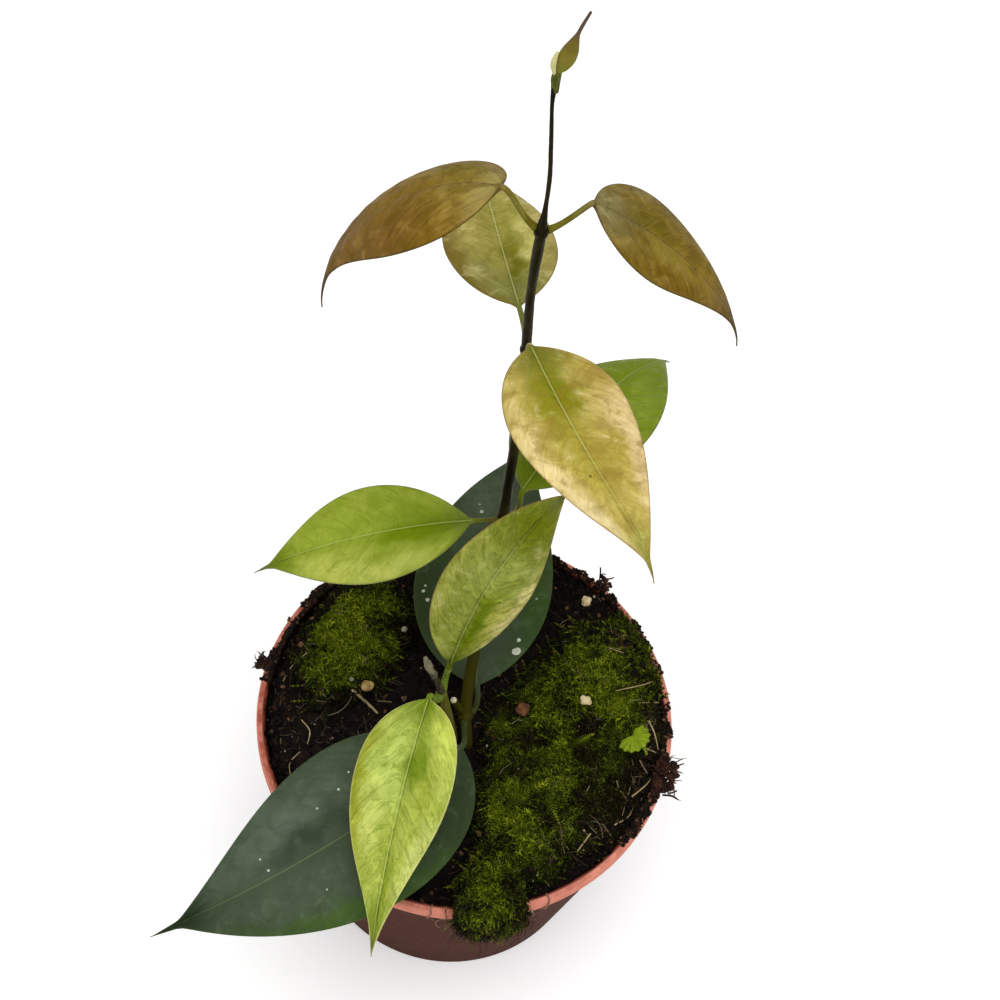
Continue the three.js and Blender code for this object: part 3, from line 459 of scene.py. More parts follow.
leaves = {
    "leaf_dark_front": {
        "node": "old", "base": (0, -12.5, 97.5), "heading": 236.5, "pitch": 15, "arch": 59, "curl": 0,
        "swing": -42, "roll": 5, "twist": -1, "fold": 7, "cup": 0.12, "length": 108, "width": 48,
        "round": 0.68, "taper": 1.12, "tail": 0.16, "wave": 0.3, "look": "dark", "quilt": 0.05,
        "tint": "#3f4b37",
        "zones": [
            # painted sheen: the pale grey-green patches at 0.3, 0.6 and 0.75 along
            (0.3, 0.5, 0.3, 0.4, "#4a5645", 0.8), (0.6, 0.5, 0.16, 0.4, "#5b6757", 0.8),
            (0.75, 0.4, 0.2, 0.5, "#485542", 0.6), (0.48, 0.22, 0.14, 0.16, "#2a3625", 0.85),
            (0.6, -0.4, 0.2, 0.3, "#475440", 0.7), (0.42, -0.95, 0.3, 0.22, "#3c5718", 0.85),
            (0.15, -0.6, 0.2, 0.5, "#2c3b22", 0.8), (0.89, 0, 0.09, 1.3, "#122008", 0.95),
            (0.98, 0, 0.06, 1, "#0b1803", 0.95)],
        "flecks": [
            (0.62, 0.35, 0.3), (0.5, -0.5, 0.25), (0.3, 0.6, 0.3)],
    },
    "leaf_dark_back": {
        "node": "old", "aside": -32, "base": (2, 6.5, 100), "heading": 98, "pitch": 5, "arch": 20,
        "curl": 22, "swing": -28, "roll": 3, "twist": 4, "fold": 11, "cup": 0.1, "length": 94,
        "width": 41, "round": 0.68, "taper": 1.24, "tail": 0.12, "wave": 0.3, "look": "dark",
        "quilt": 0.08, "tint": "#3a4730",
        "zones": [
            (0.15, 0.75, 0.2, 0.4, "#34482a", 0.8), (0.3, -0.85, 0.25, 0.3, "#2b3916", 0.85),
            # painted sheen: the pale grey patches at 0.1, 0.65 and 0.75 along
            (0.1, 0.1, 0.14, 0.6, "#474e3e", 0.7), (0.65, -0.4, 0.16, 0.6, "#525b47", 0.75),
            (0.75, 0.3, 0.15, 0.4, "#474d3a", 0.7), (0.35, 0.9, 0.25, 0.2, "#38510f", 0.5),
            (0.95, 0, 0.1, 1, "#3a4722", 0.7)],
        "flecks": [
            (0.11, 0.85, 1.3), (0.14, 0.76, 0.6), (0.28, -0.9, 0.5), (0.26, -0.82, 0.6),
            (0.3, -0.87, 0.35), (0.6, -0.38, 0.6), (0.57, -0.28, 0.3), (0.4, -0.8, 0.25),
            (0.62, -0.5, 0.25)],
    },
    "leaf_lime_front": {
        "node": "second", "base": (-10.5, -12, 125), "heading": -99, "pitch": -11, "arch": 15,
        "curl": 24, "swing": 9, "roll": -17, "twist": -4, "fold": 14, "cup": 0.1, "length": 71,
        "width": 30, "round": 0.66, "taper": 1.34, "tail": 0.08, "wave": 0.5, "look": "lime",
        "quilt": 0.3, "tint": "#a9b74e",
        "zones": [
            (0.02, 0, 0.07, 0.95, "#637909", 0.95), (0.14, -0.85, 0.12, 0.35, "#cfda60", 0.8),
            (0.14, -0.2, 0.1, 0.25, "#7f9724", 0.7), (0.28, -0.2, 0.11, 0.19, "#678004", 0.95),
            (0.3, 0.35, 0.2, 0.35, "#b9cb68", 0.6), (0.38, 0.92, 0.3, 0.16, "#979a22", 0.85),
            (0.38, -0.5, 0.09, 0.2, "#96a02a", 0.6), (0.5, 0.55, 0.12, 0.25, "#cdd570", 0.7),
            (0.5, 0.05, 0.12, 0.15, "#a3b244", 0.5), (0.62, -0.85, 0.15, 0.2, "#cdd17b", 0.7),
            (0.74, -0.15, 0.12, 0.16, "#7b8f10", 0.8), (0.86, 0, 0.09, 1, "#72851c", 0.85),
            (0.98, 0, 0.07, 1, "#46560f", 0.95)],
    },
    "leaf_mottled_upright": {
        "node": "second", "aside": 25, "base": (-6, -0.5, 126), "heading": 59, "pitch": 75, "arch": 35,
        "curl": 10, "swing": -22, "roll": -38, "twist": -12, "fold": 6, "cup": 0.18, "length": 68,
        "width": 25, "round": 0.78, "taper": 0.94, "tail": 0.05, "wave": 0.3, "look": "mottled",
        "quilt": 0.28, "tint": "#8b9343",
        "zones": [
            (0, 0, 0.08, 1, "#3e4d02", 0.95), (0.14, 0.2, 0.1, 0.3, "#5c6a02", 0.85),
            (0.27, 0.2, 0.16, 0.2, "#566800", 1.0), (0.44, 0.22, 0.12, 0.16, "#6c7c06", 0.95),
            (0.3, 0.6, 0.15, 0.22, "#aaa84a", 0.7), (0.38, 0.9, 0.24, 0.26, "#dacf8a", 0.95),
            (0.3, -0.9, 0.3, 0.2, "#a0a14c", 0.7), (0.35, -0.45, 0.2, 0.3, "#818a3a", 0.6),
            (0.55, 0, 0.14, 0.6, "#9ba653", 0.7), (0.64, -0.9, 0.12, 0.2, "#9ea24f", 0.6),
            (0.82, 0.1, 0.16, 1.2, "#666d0e", 0.95), (0.97, 0, 0.08, 1, "#70753a", 0.8)],
    },
    "leaf_green_left": {
        "node": "first", "base": (-5.5, 25.5, 160), "heading": 197.5, "pitch": 6.5, "arch": 51.5,
        "curl": 0, "swing": -7, "roll": 6.5, "twist": 4, "fold": 7, "cup": 0.12, "length": 63.7,
        "width": 27.6, "round": 0.92, "taper": 1.14, "tail": 0.14, "wave": 0.2, "look": "green",
        "quilt": 0.16, "tint": "#8c9a3b",
        "zones": [
            (0.03, 0, 0.09, 1, "#627230", 0.9), (0.16, 0, 0.12, 0.45, "#5a6e16", 0.85),
            (0.3, -0.15, 0.14, 0.22, "#62780a", 0.9), (0.3, 0.4, 0.16, 0.4, "#728627", 0.6),
            (0.45, -0.85, 0.25, 0.25, "#b4b962", 0.85), (0.62, -0.6, 0.15, 0.35, "#b2b85c", 0.7),
            (0.6, 0.3, 0.2, 0.4, "#92a241", 0.5), (0.87, -0.1, 0.08, 0.9, "#5c6d12", 0.9),
            (0.98, 0, 0.06, 1, "#434e1a", 0.95)],
    },
    "leaf_green_right": {
        "node": "first", "base": (7, 32, 169), "heading": 64, "pitch": 9, "arch": 47, "curl": 22,
        "swing": -11.5, "roll": 17.5, "twist": -1, "fold": 4, "cup": 0.18, "length": 77.5, "width": 38,
        "round": 0.84, "taper": 1.22, "tail": 0.12, "wave": 0.2, "look": "green", "quilt": 0.12,
        "tint": "#6e7f20",
        "zones": [
            (0.15, 0, 0.15, 1, "#40500e", 0.9), (0.5, 0, 0.25, 0.6, "#74851f", 0.6),
            (0.55, 0.7, 0.18, 0.35, "#7e9036", 0.85), (0.75, 0.8, 0.15, 0.3, "#66751f", 0.6)],
    },
    "leaf_cream": {
        "node": "middle", "base": (3.5, 28.5, 240.5), "heading": -64.5, "pitch": 9, "arch": 8,
        "curl": 75, "swing": 12, "roll": -2, "twist": -2, "fold": 13, "cup": 0.1, "length": 70,
        "width": 29.4, "round": 0.7, "taper": 1.14, "tail": 0.14, "wave": 0.5, "look": "cream",
        "quilt": 0.28, "tint": "#b4a456",
        "zones": [
            (0.03, 0, 0.1, 1, "#656b22", 0.95), (0.15, 0, 0.11, 0.45, "#757821", 0.9),
            (0.27, -0.15, 0.1, 0.22, "#737402", 0.95), (0.28, 0.2, 0.13, 0.25, "#7d7e10", 0.9),
            (0.42, 0.1, 0.12, 0.3, "#968e34", 0.7), (0.4, -0.8, 0.16, 0.3, "#d6bf88", 0.85),
            (0.5, 0.85, 0.25, 0.24, "#e0cb90", 0.95), (0.6, -0.9, 0.22, 0.18, "#cfb686", 0.9),
            (0.5, -0.45, 0.08, 0.2, "#9c8a36", 0.7), (0.55, 0.1, 0.12, 0.4, "#aa9e3c", 0.6),
            (0.62, -0.2, 0.1, 0.2, "#988638", 0.7), (0.74, 0.85, 0.15, 0.3, "#d8c594", 0.8),
            (0.22, -0.75, 0.1, 0.2, "#a88f42", 0.6), (0.88, 0, 0.08, 1, "#9c9c4f", 0.9),
            (0.97, 0, 0.06, 1, "#86973f", 0.95)],
    },
    "leaf_olive_back": {
        "node": "middle", "base": (-1, 49.5, 227.5), "heading": 109, "pitch": -8, "arch": 25,
        "curl": 20, "swing": -9, "roll": -1, "twist": 1, "fold": 6, "cup": 0.12, "length": 66,
        "width": 29, "round": 0.72, "taper": 1.18, "tail": 0.12, "wave": 0.3, "look": "olive",
        "quilt": 0.18, "tint": "#9a9144",
        "zones": [
            (0.05, 0, 0.12, 1, "#7c8247", 0.85), (0.3, -0.95, 0.4, 0.25, "#7b662a", 0.9),
            (0.22, 0.18, 0.14, 0.18, "#66670e", 0.95), (0.38, 0.2, 0.12, 0.15, "#7d7d18", 0.6),
            (0.3, 0.5, 0.1, 0.2, "#c8c373", 0.85), (0.5, -0.5, 0.2, 0.3, "#b3a35c", 0.7),
            (0.4, 0.5, 0.15, 0.25, "#bab25c", 0.7), (0.5, 0.95, 0.3, 0.2, "#b09f69", 0.7),
            (0.18, -0.5, 0.1, 0.3, "#8a894c", 0.6), (0.75, -0.6, 0.2, 0.4, "#80722f", 0.8),
            (0.93, 0, 0.12, 1, "#766628", 0.8)],
    },
    "leaf_bronze_left": {
        "node": "top", "base": (-8.5, 40.5, 284), "heading": 165, "pitch": -19, "arch": 71, "curl": 7,
        "swing": 47.5, "roll": -15, "twist": 0, "fold": 4, "cup": 0.34, "length": 74, "width": 33.8,
        "round": 0.58, "taper": 1.5, "tail": 0.25, "wave": 0.2, "look": "bronze", "quilt": 0.14,
        "tint": "#785c20",
        "zones": [
            (0.03, -0.1, 0.08, 1, "#968b52", 0.95), (0.14, -0.2, 0.1, 0.5, "#8a7636", 0.8),
            (0.18, 0.45, 0.12, 0.35, "#716718", 0.8), (0.35, 0.2, 0.15, 0.4, "#806828", 0.5),
            (0.45, -0.7, 0.25, 0.35, "#715020", 0.7), (0.7, 0, 0.16, 1, "#75562a", 0.8),
            (0.62, 0.15, 0.1, 0.4, "#7f6848", 0.5), (0.9, 0, 0.12, 1, "#584a3c", 0.85)],
    },
    "leaf_bronze_right": {
        "node": "top", "lift": 0, "neck": 1, "base": (13, 44, 278.5), "heading": 3, "pitch": -26.5,
        "arch": 37, "curl": 24.5, "swing": -21, "roll": 8, "twist": -4, "fold": 4, "cup": 0.16,
        "length": 60, "width": 26, "round": 0.64, "taper": 1.5, "tail": 0.2, "wave": 0.2,
        "look": "bronze", "quilt": 0.14, "tint": "#776326",
        "zones": [
            # painted sheen: the grey patch at the base, the first one here
            (0.03, 0, 0.09, 1, "#8f8760", 0.95), (0.14, 0.1, 0.1, 0.6, "#6a6034", 0.8),
            (0.27, -0.2, 0.1, 0.3, "#5d520c", 0.85), (0.3, -0.9, 0.25, 0.2, "#7a6e48", 0.7),
            (0.35, 0.25, 0.12, 0.25, "#87762d", 0.7), (0.38, 0.8, 0.15, 0.25, "#664c0c", 0.7),
            (0.55, 0.1, 0.12, 0.4, "#8c732c", 0.7), (0.5, 0.85, 0.2, 0.3, "#775a1e", 0.6),
            (0.75, 0, 0.1, 1, "#76613c", 0.9), (0.9, 0, 0.1, 1, "#686450", 0.9)],
    },
}
# Finish of each kind of leaf: a waxy cuticle over the cells. rough is the wax, mottle a patchy
# second colour, vein the side veins, crease the painted shade in the wrinkles' folds, grain the painted
# light and shade of their crests and valleys, rib the midrib, rim the margin.
leafLooks = {
    "dark": {
        "slot": "leaf_dark", "vivid": 1.03, "rough": 0.45, "gloss": 0.1, "mottle": ("#33402a", 0.3),
        "pale": ("#66745f", 0.2), "vein": ("#526046", 0.12), "crease": ("#2a3522", 0.2),
        "rib": ("#75854f", 0.5, 0.95), "rim": ("#46551f", 0.4), "under": "#5b6a38",
        "specks": ("#c9cdbb", 0.85), "bump": 0.25, "grain": 0.04},
    "lime": {
        "slot": "leaf_lime", "vivid": 1.0, "rough": 0.45, "gloss": 0.1, "mottle": ("#87942a", 0.4),
        "pale": ("#d6dc72", 0.3), "vein": ("#7f9222", 0.45), "crease": ("#62730f", 0.75),
        "rib": ("#b9c872", 0.7, 1.1), "rim": ("#d6cf86", 0.7), "under": "#aeba64",
        "specks": ("#3b3a14", 0.75), "bump": 0.95, "grain": 0.12},
    "mottled": {
        "slot": "leaf_mottled", "vivid": 1.04, "rough": 0.45, "gloss": 0.08,
        "mottle": ("#6b761a", 0.45), "pale": ("#c2bf78", 0.45), "vein": ("#66751a", 0.45),
        "crease": ("#4d5a16", 0.8), "rib": ("#aab668", 0.45, 0.85), "rim": ("#8a6f3f", 0.7),
        "under": "#959e54", "specks": ("#3b3a14", 0.65), "bump": 1.0, "grain": 0.15},
    "green": {
        "slot": "leaf_green", "vivid": 1.06, "rough": 0.45, "gloss": 0.1, "mottle": ("#6c7d1c", 0.3),
        "pale": ("#abb45a", 0.25), "vein": ("#6b7d20", 0.35), "crease": ("#5d6e1e", 0.4),
        "rib": ("#a9b66c", 0.55, 0.95), "rim": ("#74724a", 0.6), "under": "#8c9c50",
        "specks": ("#2f3010", 0.65), "bump": 0.6, "grain": 0.05},
    "cream": {
        "slot": "leaf_cream", "vivid": 1.02, "rough": 0.55, "gloss": 0.05, "mottle": ("#8b7630", 0.55),
        "pale": ("#e9d5a0", 0.42), "vein": ("#94803a", 0.4), "crease": ("#8a7530", 0.5),
        "rib": ("#b0ba70", 0.65, 0.76), "rim": ("#9a7c50", 0.7), "under": "#aca05c",
        "specks": ("#33290f", 0.7), "bump": 0.7, "grain": 0.07},
    "olive": {
        "slot": "leaf_olive", "vivid": 1.0, "rough": 0.55, "gloss": 0.05, "mottle": ("#75701f", 0.45),
        "pale": ("#cfc484", 0.45), "vein": ("#b5ae66", 0.3), "crease": ("#6c651e", 0.4),
        "rib": ("#bcc27e", 0.65, 1.0), "rim": ("#77642f", 0.6), "under": "#99924c",
        "specks": ("#3b2f12", 0.6), "bump": 0.7, "grain": 0.08},
    "bronze": {
        "slot": "leaf_bronze", "vivid": 1.03, "rough": 0.5, "gloss": 0.05, "mottle": ("#5c480c", 0.5),
        "pale": ("#a28c4a", 0.32), "vein": ("#927c3a", 0.3), "crease": ("#50390c", 0.4),
        "rib": ("#8f7d42", 0.3, 0.9), "rim": ("#4a3a1e", 0.7), "under": "#82723c",
        "specks": ("#b5a560", 0.45), "bump": 0.8, "grain": 0.1},
}


def makeLeafMaterial(kind, look):
    material, add = newMaterial(kind + "WaxyLeaf")
    place = add("TexCoord", out="Object")
    bladeAt, edgeAt = [add("Attribute", out=1, attribute_name=name) for name in ("blade", "edge")]
    tint = add("Attribute", attribute_name="tint")
    along, _, phase = add("SeparateXYZ", {0: bladeAt}).node.outputs
    fromRib, fromRim, under = add("SeparateXYZ", {0: edgeAt}).node.outputs
    # cloudy patches, 3 to 6 mm wide, dark and pale
    patches = add("TexNoise", {"Vector": place, "Scale": 190, "Detail": 6, "Roughness": 0.62,
                               "Distortion": 0.6})
    blotch = add("MapRange", {0: patches, 1: 0.5, 2: 0.6, 4: look["mottle"][1]})
    clouded = add("Mix", {0: blotch, 6: tint, 7: look["mottle"][0]})
    lightness = add("MapRange", {0: patches, 1: 0.36, 2: 0.46, 3: look["pale"][1], 4: 0.0})
    outer = add("MapRange", {0: fromRib, 1: 1.5, 2: 6})
    paled = add("Math", {0: lightness, 1: outer}, operation="MULTIPLY")
    colour = add("Mix", {0: paled, 6: clouded, 7: look["pale"][0]})
    # side veins, 5 to 8 mm apart, made a little uneven
    uneven = add("TexNoise", {"Vector": place, "Scale": 90, "Detail": 2})
    bent = add("Math", {0: uneven, 1: 0.7, 2: phase}, operation="MULTIPLY_ADD")
    saw = add("Math", {0: bent, 1: 0.5}, operation="PINGPONG")
    inner = add("MapRange", {0: fromRim, 1: 0.3, 2: 3.5})
    veinLine = add("MapRange", {0: saw, 1: 0.0, 2: 0.06, 3: look["vein"][1], 4: 0.0},
                   interpolation_type="SMOOTHSTEP")
    vein = add("Math", {0: veinLine, 1: inner}, operation="MULTIPLY")
    veined = add("Mix", {0: vein, 6: colour, 7: look["vein"][0]})
    # wrinkles run out from the midrib with the side veins, 1 to 2 mm apart; their folds are painted darker,
    # as painted shade
    flow = add("VectorMath", {0: bladeAt, 1: (4.0, 3.6, 2.3)}, operation="MULTIPLY")
    creases = add("TexNoise", {"Vector": flow, "Scale": 1.0, "Detail": 3, "Roughness": 0.5,
                               "Distortion": 0.5})
    centred = add("Math", {0: creases, 1: 0.5}, operation="SUBTRACT")
    nearFold = add("Math", {0: centred}, operation="ABSOLUTE")
    foldLine = add("MapRange", {0: nearFold, 1: 0.0, 2: 0.045, 3: look["crease"][1], 4: 0.0},
                   interpolation_type="SMOOTHSTEP")
    foldHere = add("Math", {0: foldLine, 1: patches}, operation="MULTIPLY")
    creaseShaded = add("Mix", {0: foldHere, 6: veined, 7: look["crease"][0]})
    # painted light and shade: the wrinkles' crests are painted lighter and their valleys darker
    crestShading = add("MapRange", {0: creases, 1: 0.3, 2: 0.7, 3: 1 - look["grain"], 4: 1 + look["grain"]})
    crestShaded = add("HueSaturation", {"Saturation": look["vivid"], "Value": crestShading, "Color": creaseShaded})
    # midrib, a pale line a quarter of a millimetre wide that fades towards the tip
    ribLine = add("MapRange", {0: fromRib, 1: 0.02, 2: 0.24, 3: look["rib"][1], 4: 0.0},
                  interpolation_type="SMOOTHSTEP")
    ribFade = add("MapRange", {0: along, 1: look["rib"][2] - 0.3, 2: look["rib"][2], 3: 1.0, 4: 0.0})
    rib = add("Math", {0: ribLine, 1: ribFade}, operation="MULTIPLY")
    ribbed = add("Mix", {0: rib, 6: crestShaded, 7: look["rib"][0]})
    rimLine = add("MapRange", {0: fromRim, 1: 0.1, 2: 0.5, 3: look["rim"][1], 4: 0.0})
    rimmed = add("Mix", {0: rimLine, 6: ribbed, 7: look["rim"][0]})
    # specks of lime dust or dark scars, under half a millimetre
    away, lot, *_ = add("TexVoronoi", {"Vector": place, "Scale": 190}).node.outputs
    rare = add("Math", {0: add("SeparateColor", {0: lot}), 1: 0.92}, operation="GREATER_THAN")
    dot = add("MapRange", {0: away, 1: 0.05, 2: 0.09, 3: look["specks"][1], 4: 0.0})
    speck = add("Math", {0: dot, 1: rare}, operation="MULTIPLY")
    specked = add("Mix", {0: speck, 6: rimmed, 7: look["specks"][0]})
    pale = add("Mix", {0: 0.75, 6: specked, 7: look["under"]})
    skin = add("Mix", {0: under, 6: specked, 7: pale})
    # relief: pillows between the side veins, the wrinkles and the sunken midrib
    pillow = add("MapRange", {0: saw, 1: 0.0, 2: 0.25}, interpolation_type="SMOOTHSTEP")
    sunk = add("MapRange", {0: fromRib, 1: 0.0, 2: 0.8}, interpolation_type="SMOOTHSTEP")
    relief = add("Math", {0: pillow, 1: 0.4, 2: sunk}, operation="MULTIPLY_ADD")
    relief = add("Math", {0: creases, 1: 2.2, 2: relief}, operation="MULTIPLY_ADD")
    bump = add("Bump", {"Strength": look["bump"], "Distance": 0.0005, "Height": relief})
    wax = add("MapRange", {0: patches, 1: 0.3, 2: 0.7, 3: look["rough"] - 0.05, 4: look["rough"] + 0.12})
    return finishMaterial(material, {
        "Base Color": skin, "Roughness": wax, "Normal": bump, "IOR": 1.43,
        "Specular IOR Level": look["gloss"], "Subsurface Weight": 0.06,
        "Subsurface Radius": (0.4, 0.8, 0.2), "Subsurface Scale": 0.001})


leafMaterials = {kind: makeLeafMaterial(kind, look) for kind, look in leafLooks.items()}


def spineFrame(leaf, share):
    late = max((share - leafShape["curlFrom"]) / (1 - leafShape["curlFrom"]), 0)
    pitch = math.radians(leaf["pitch"] - leaf["arch"] * share - leaf["curl"] * late * late)
    heading = math.radians(leaf["heading"] + leaf["swing"] * share)
    roll = math.radians(leaf["roll"] + leaf["twist"] * share)
    along = Vector((math.cos(pitch) * math.cos(heading), math.cos(pitch) * math.sin(heading),
                    math.sin(pitch)))
    level = Vector((math.sin(heading), -math.cos(heading), 0))
    above = level.cross(along)
    return (along, level * math.cos(roll) + above * math.sin(roll),
            above * math.cos(roll) - level * math.sin(roll))


def outlineAt(leaf, share):
    bodyEnd = 1 - leafShape["bodyEnd"] * leaf["tail"]
    u = min(share / bodyEnd, 1)
    widest = leaf["round"] / (leaf["round"] + leaf["taper"])
    body = (u / widest) ** leaf["round"] * ((1 - u) / (1 - widest)) ** leaf["taper"]
    drip = leafShape["dripWidth"] * min(1, (1 - share) / leaf["tail"]) * min(1, share / 0.1)
    return math.hypot(body, drip)


def stalkFrames(leaf):
    node = nodes[leaf["node"]]
    at, base = Vector(node["at"]), Vector(leaf["base"])
    lift = math.radians(leaf.get("lift", node["lift"]))
    out = base - at
    out.z = 0
    out = out.normalized() * math.cos(lift)
    out.rotate(Quaternion((0, 0, 1), math.radians(leaf.get("aside", 0))))
    out.z = math.sin(lift)
    along, side, up = spineFrame(leaf, 0)
    start = at + out * (node["knob"] + 0.3)
    reach = 0.33 * (base - start).length
    path = [at + out * (node["knob"] - 0.3), start + out * reach,
            base - along * min(reach, leaf.get("neck", 3)), base]
    frames = []
    rows = leafShape["stalkRows"]
    for i in reversed(range(rows)):
        t = i / rows
        a, b, c, d = path
        place = a * (1 - t) ** 3 + b * 3 * t * (1 - t) ** 2 + c * 3 * t * t * (1 - t) + d * t ** 3
        ahead = ((b - a) * (1 - t) ** 2 + (c - b) * 2 * t * (1 - t) + (d - c) * t * t).normalized()
        bend = along.rotation_difference(ahead)
        side, up, along = bend @ side, bend @ up, ahead
        radius = node["stalk"] * (1 + 0.45 * max(0, 1 - 3 * t) ** 2)
        frames.insert(0, (place, side, up, radius))
    return frames


def tintAt(leaf, zones, share, across):
    colour = leaf["baseTint"].copy()
    shift = noise.noise_vector(Vector((share * 13, across * 4.5, leaf["length"])))
    for (t, s, reachT, reachS, _, strength), patch in zip(leaf["zones"], zones):
        away = ((share + 0.03 * shift.x - t) / reachT) ** 2 + ((across + 0.2 * shift.y - s) / reachS) ** 2
        colour += (patch - colour) * strength * math.exp(-away ** 1.5)
    return (*colour, 1.0)


def makeLeaf(name, leaf):
    rows, stalkRows = leafShape["rows"], leafShape["stalkRows"]
    frames = stalkFrames(leaf)
    spine = [np.array(leaf["base"], float)]
    steps = leafShape["spineSteps"]
    for i in range(steps):
        spine.append(spine[-1] + np.array(spineFrame(leaf, i / steps)[0]) * leaf["length"] / steps)
    leaf["baseTint"] = Vector(srgb(leaf["tint"])[:3])
    zones = [Vector(srgb(zone[4])[:3]) for zone in leaf["zones"]]
    stalkTint = Vector(srgb(nodes[leaf["node"]]["stalkTint"]))
    fold = math.radians(leaf["fold"])
    blades = []
    for i in range(rows):
        share = i / (rows - 1)
        share = share + 0.08 * math.sin(2 * math.pi * share) / (2 * math.pi)
        half = max(leaf["width"] / 2 * outlineAt(leaf, share), 0.9 - 0.78 * share)
        blades.append((share, Vector(through(spine, share)), *spineFrame(leaf, share)[1:], half))
    spacing = leaf["length"] / leafShape["sideVeins"]

    def placeAt(row, turn):
        if row < stalkRows:
            place, side, up, radius = frames[row]
            angle = 2 * math.pi * turn
            point = place - side * math.cos(angle) * radius + up * math.sin(angle) * radius
            blend = (row / stalkRows) ** 3
            colour = stalkTint.lerp(Vector(tintAt(leaf, zones, 0, 0)), blend)
            return point, (0, 0, 0), (9, 9, 0), tuple(colour)
        share, middle, side, up, half = blades[row - stalkRows]
        face = 1 if turn < 0.5 else -1
        q = 4 * turn - (1 if face > 0 else 3)
        s = face * q * (1.2 - 0.2 * q ** 4)
        near = abs(s) * half
        sideways = 0.35 * min(1, abs(s) / 0.1) * (1 if s > 0 else 0)
        phase = (share * leaf["length"] - near * (0.55 + 0.6 * abs(s))) / spacing + sideways
        pillow = 0.5 - 0.5 * math.cos(2 * math.pi * phase)
        wave = leaf["wave"] * s * s * math.sin(4 * math.pi * share + s) * math.sin(math.pi * share)
        lift = half * (abs(s) * math.sin(fold) - leaf["cup"] * s * s) + wave
        lift += leaf["quilt"] * pillow * min(1, near / 3) * (1 - abs(s) ** 3) * math.sin(math.pi * share)
        thick = leafShape["margin"] + (leafShape["thickness"] - leafShape["margin"]) * (1 - s * s)
        thick *= max(0, 1 - abs(s) ** 8) ** 0.5 * (1 if share < 0.5 else min(1, 0.25 + half / 4))
        if face > 0:
            lift += thick / 2 - 0.2 * math.exp(-(near / 0.9) ** 2) * (1 - share)
        else:
            lift -= thick / 2 + leafShape["rib"] * (1 - share) * math.exp(-(near / 1.1) ** 2)
        point = middle + side * (half * s * math.cos(fold)) + up * lift
        under = 1.0 if face < 0 and abs(s) < 0.999 else 0.0
        return (point, (share, s, phase), (near, half - near, under), tintAt(leaf, zones, share, s))

    bm = rollGrid(rows + stalkRows, leafShape["columns"], placeAt,
                  [("blade", "float_vector"), ("edge", "float_vector"), ("tint", "float_color")])
    finishPiece(name.replace("leaf_", "blade_"), bm, leafMaterials[leaf["look"]], [name])
    for share, s, size in leaf.get("flecks", []):  # splashes of dried lime water
        row = min(range(rows), key=lambda i: abs(blades[i][0] - share))
        point = placeAt(row + stalkRows, (s / 1.2 + 1) / 4)[0]
        fleck = ball(3)
        for vert in fleck.verts:
            vert.co *= 1 + 0.35 * noise.noise(vert.co * 1.6 + point)
        turn = Vector((0, 0, 1)).rotation_difference(blades[row][3]).to_matrix().to_4x4()
        bmesh.ops.transform(fleck, verts=fleck.verts, matrix=Matrix.Translation(point * mm) @ turn
                            @ Matrix.Diagonal((size * mm, size * mm, 0.12 * mm, 1)))
        flecks.append(fleck)


flecks = []
for leafName, leafValues in leaves.items():
    makeLeaf(leafName, leafValues)
driedLime = makePlain("driedLime", 900, [(0.3, "#9aa08c"), (0.7, "#d5d9c8")], 0.8)
finishPiece("limeFlecks", joined(flecks), driedLime)
print("leaves made")


# Stems: woody old shoot, nearly black with a green cast, and the slim new leader. Satin bark.
stems = {
    "main": [(1.8, -7, 58, 1.6), (1.6, -5.5, 84, 1.7), (0, -1, 94, 1.7), (-0.2, 8, 111, 1.6),
             (1.1, 18, 129, 1.5), (2.5, 30, 155.5, 1.5), (2.9, 33.5, 191, 1.3), (2.3, 36, 228.5, 1.3),
             (1.6, 37, 251, 1.15), (2, 38, 273, 1.25), (2.15, 38.6, 281, 0.6), (2.15, 39, 291, 0.55),
             (1.3, 39.5, 303.5, 0.5), (0.4, 40.6, 315, 0.5), (0.5, 41, 320, 0.85), (0.5, 41, 323, 0.8)],
    "stub": [(-0.6, -1, 95, 1), (-2.2, -1.2, 99.5, 1), (-3.9, -1.5, 104.5, 1)],
    "second": [(-2.6, -6, 60, 1.4), (-2.7, -4.5, 84, 1.4), (-4.6, -4, 97, 1.4), (-7.2, -3, 110, 1.4)],
    "twig": [(-7.2, -3, 110, 1.1), (-9.4, -2.4, 118, 0.9), (-11.8, -1.6, 124, 1.1), (-13, -1.2, 128, 0.6)],
    "sides": 20,
}


def makeBark(name, stops, rough, low=None):  # low is the colour near the peat
    material, add = newMaterial(name)
    place = add("TexCoord", out="Object")
    slim = add("Mapping", {0: place, "Scale": (1, 1, 0.25)})
    streaks = add("TexNoise", {"Vector": slim, "Scale": 1400, "Detail": 4})
    drift = add("TexNoise", {"Vector": place, "Scale": 60, "Detail": 4})
    both = add("Math", {0: streaks, 1: 0.4, 2: drift}, operation="MULTIPLY_ADD")
    colour = add("ValToRGB", {0: both}, stops=stops)
    if low:
        rise = add("SeparateXYZ", {0: place}, out=2)
        lowDown = add("MapRange", {0: rise, 1: 0.1, 2: 0.15, 3: 0.75, 4: 0.0})
        colour = add("Mix", {0: lowDown, 6: colour, 7: low})
    bump = add("Bump", {"Strength": 0.5, "Distance": 0.0003, "Height": both})
    return finishMaterial(material, {
        "Base Color": colour, "Roughness": rough, "Normal": bump, "Specular IOR Level": 0.05})


barkDark = makeBark("satinOldBark", [(0.45, "#070600"), (0.65, "#161300"), (0.9, "#2c260a")], 0.45,
                    "#47430f")
barkGreen = makeBark("greenYoungBark", [(0.45, "#3a3d14"), (0.65, "#5d6222"), (0.9, "#7a6a3c")], 0.5)


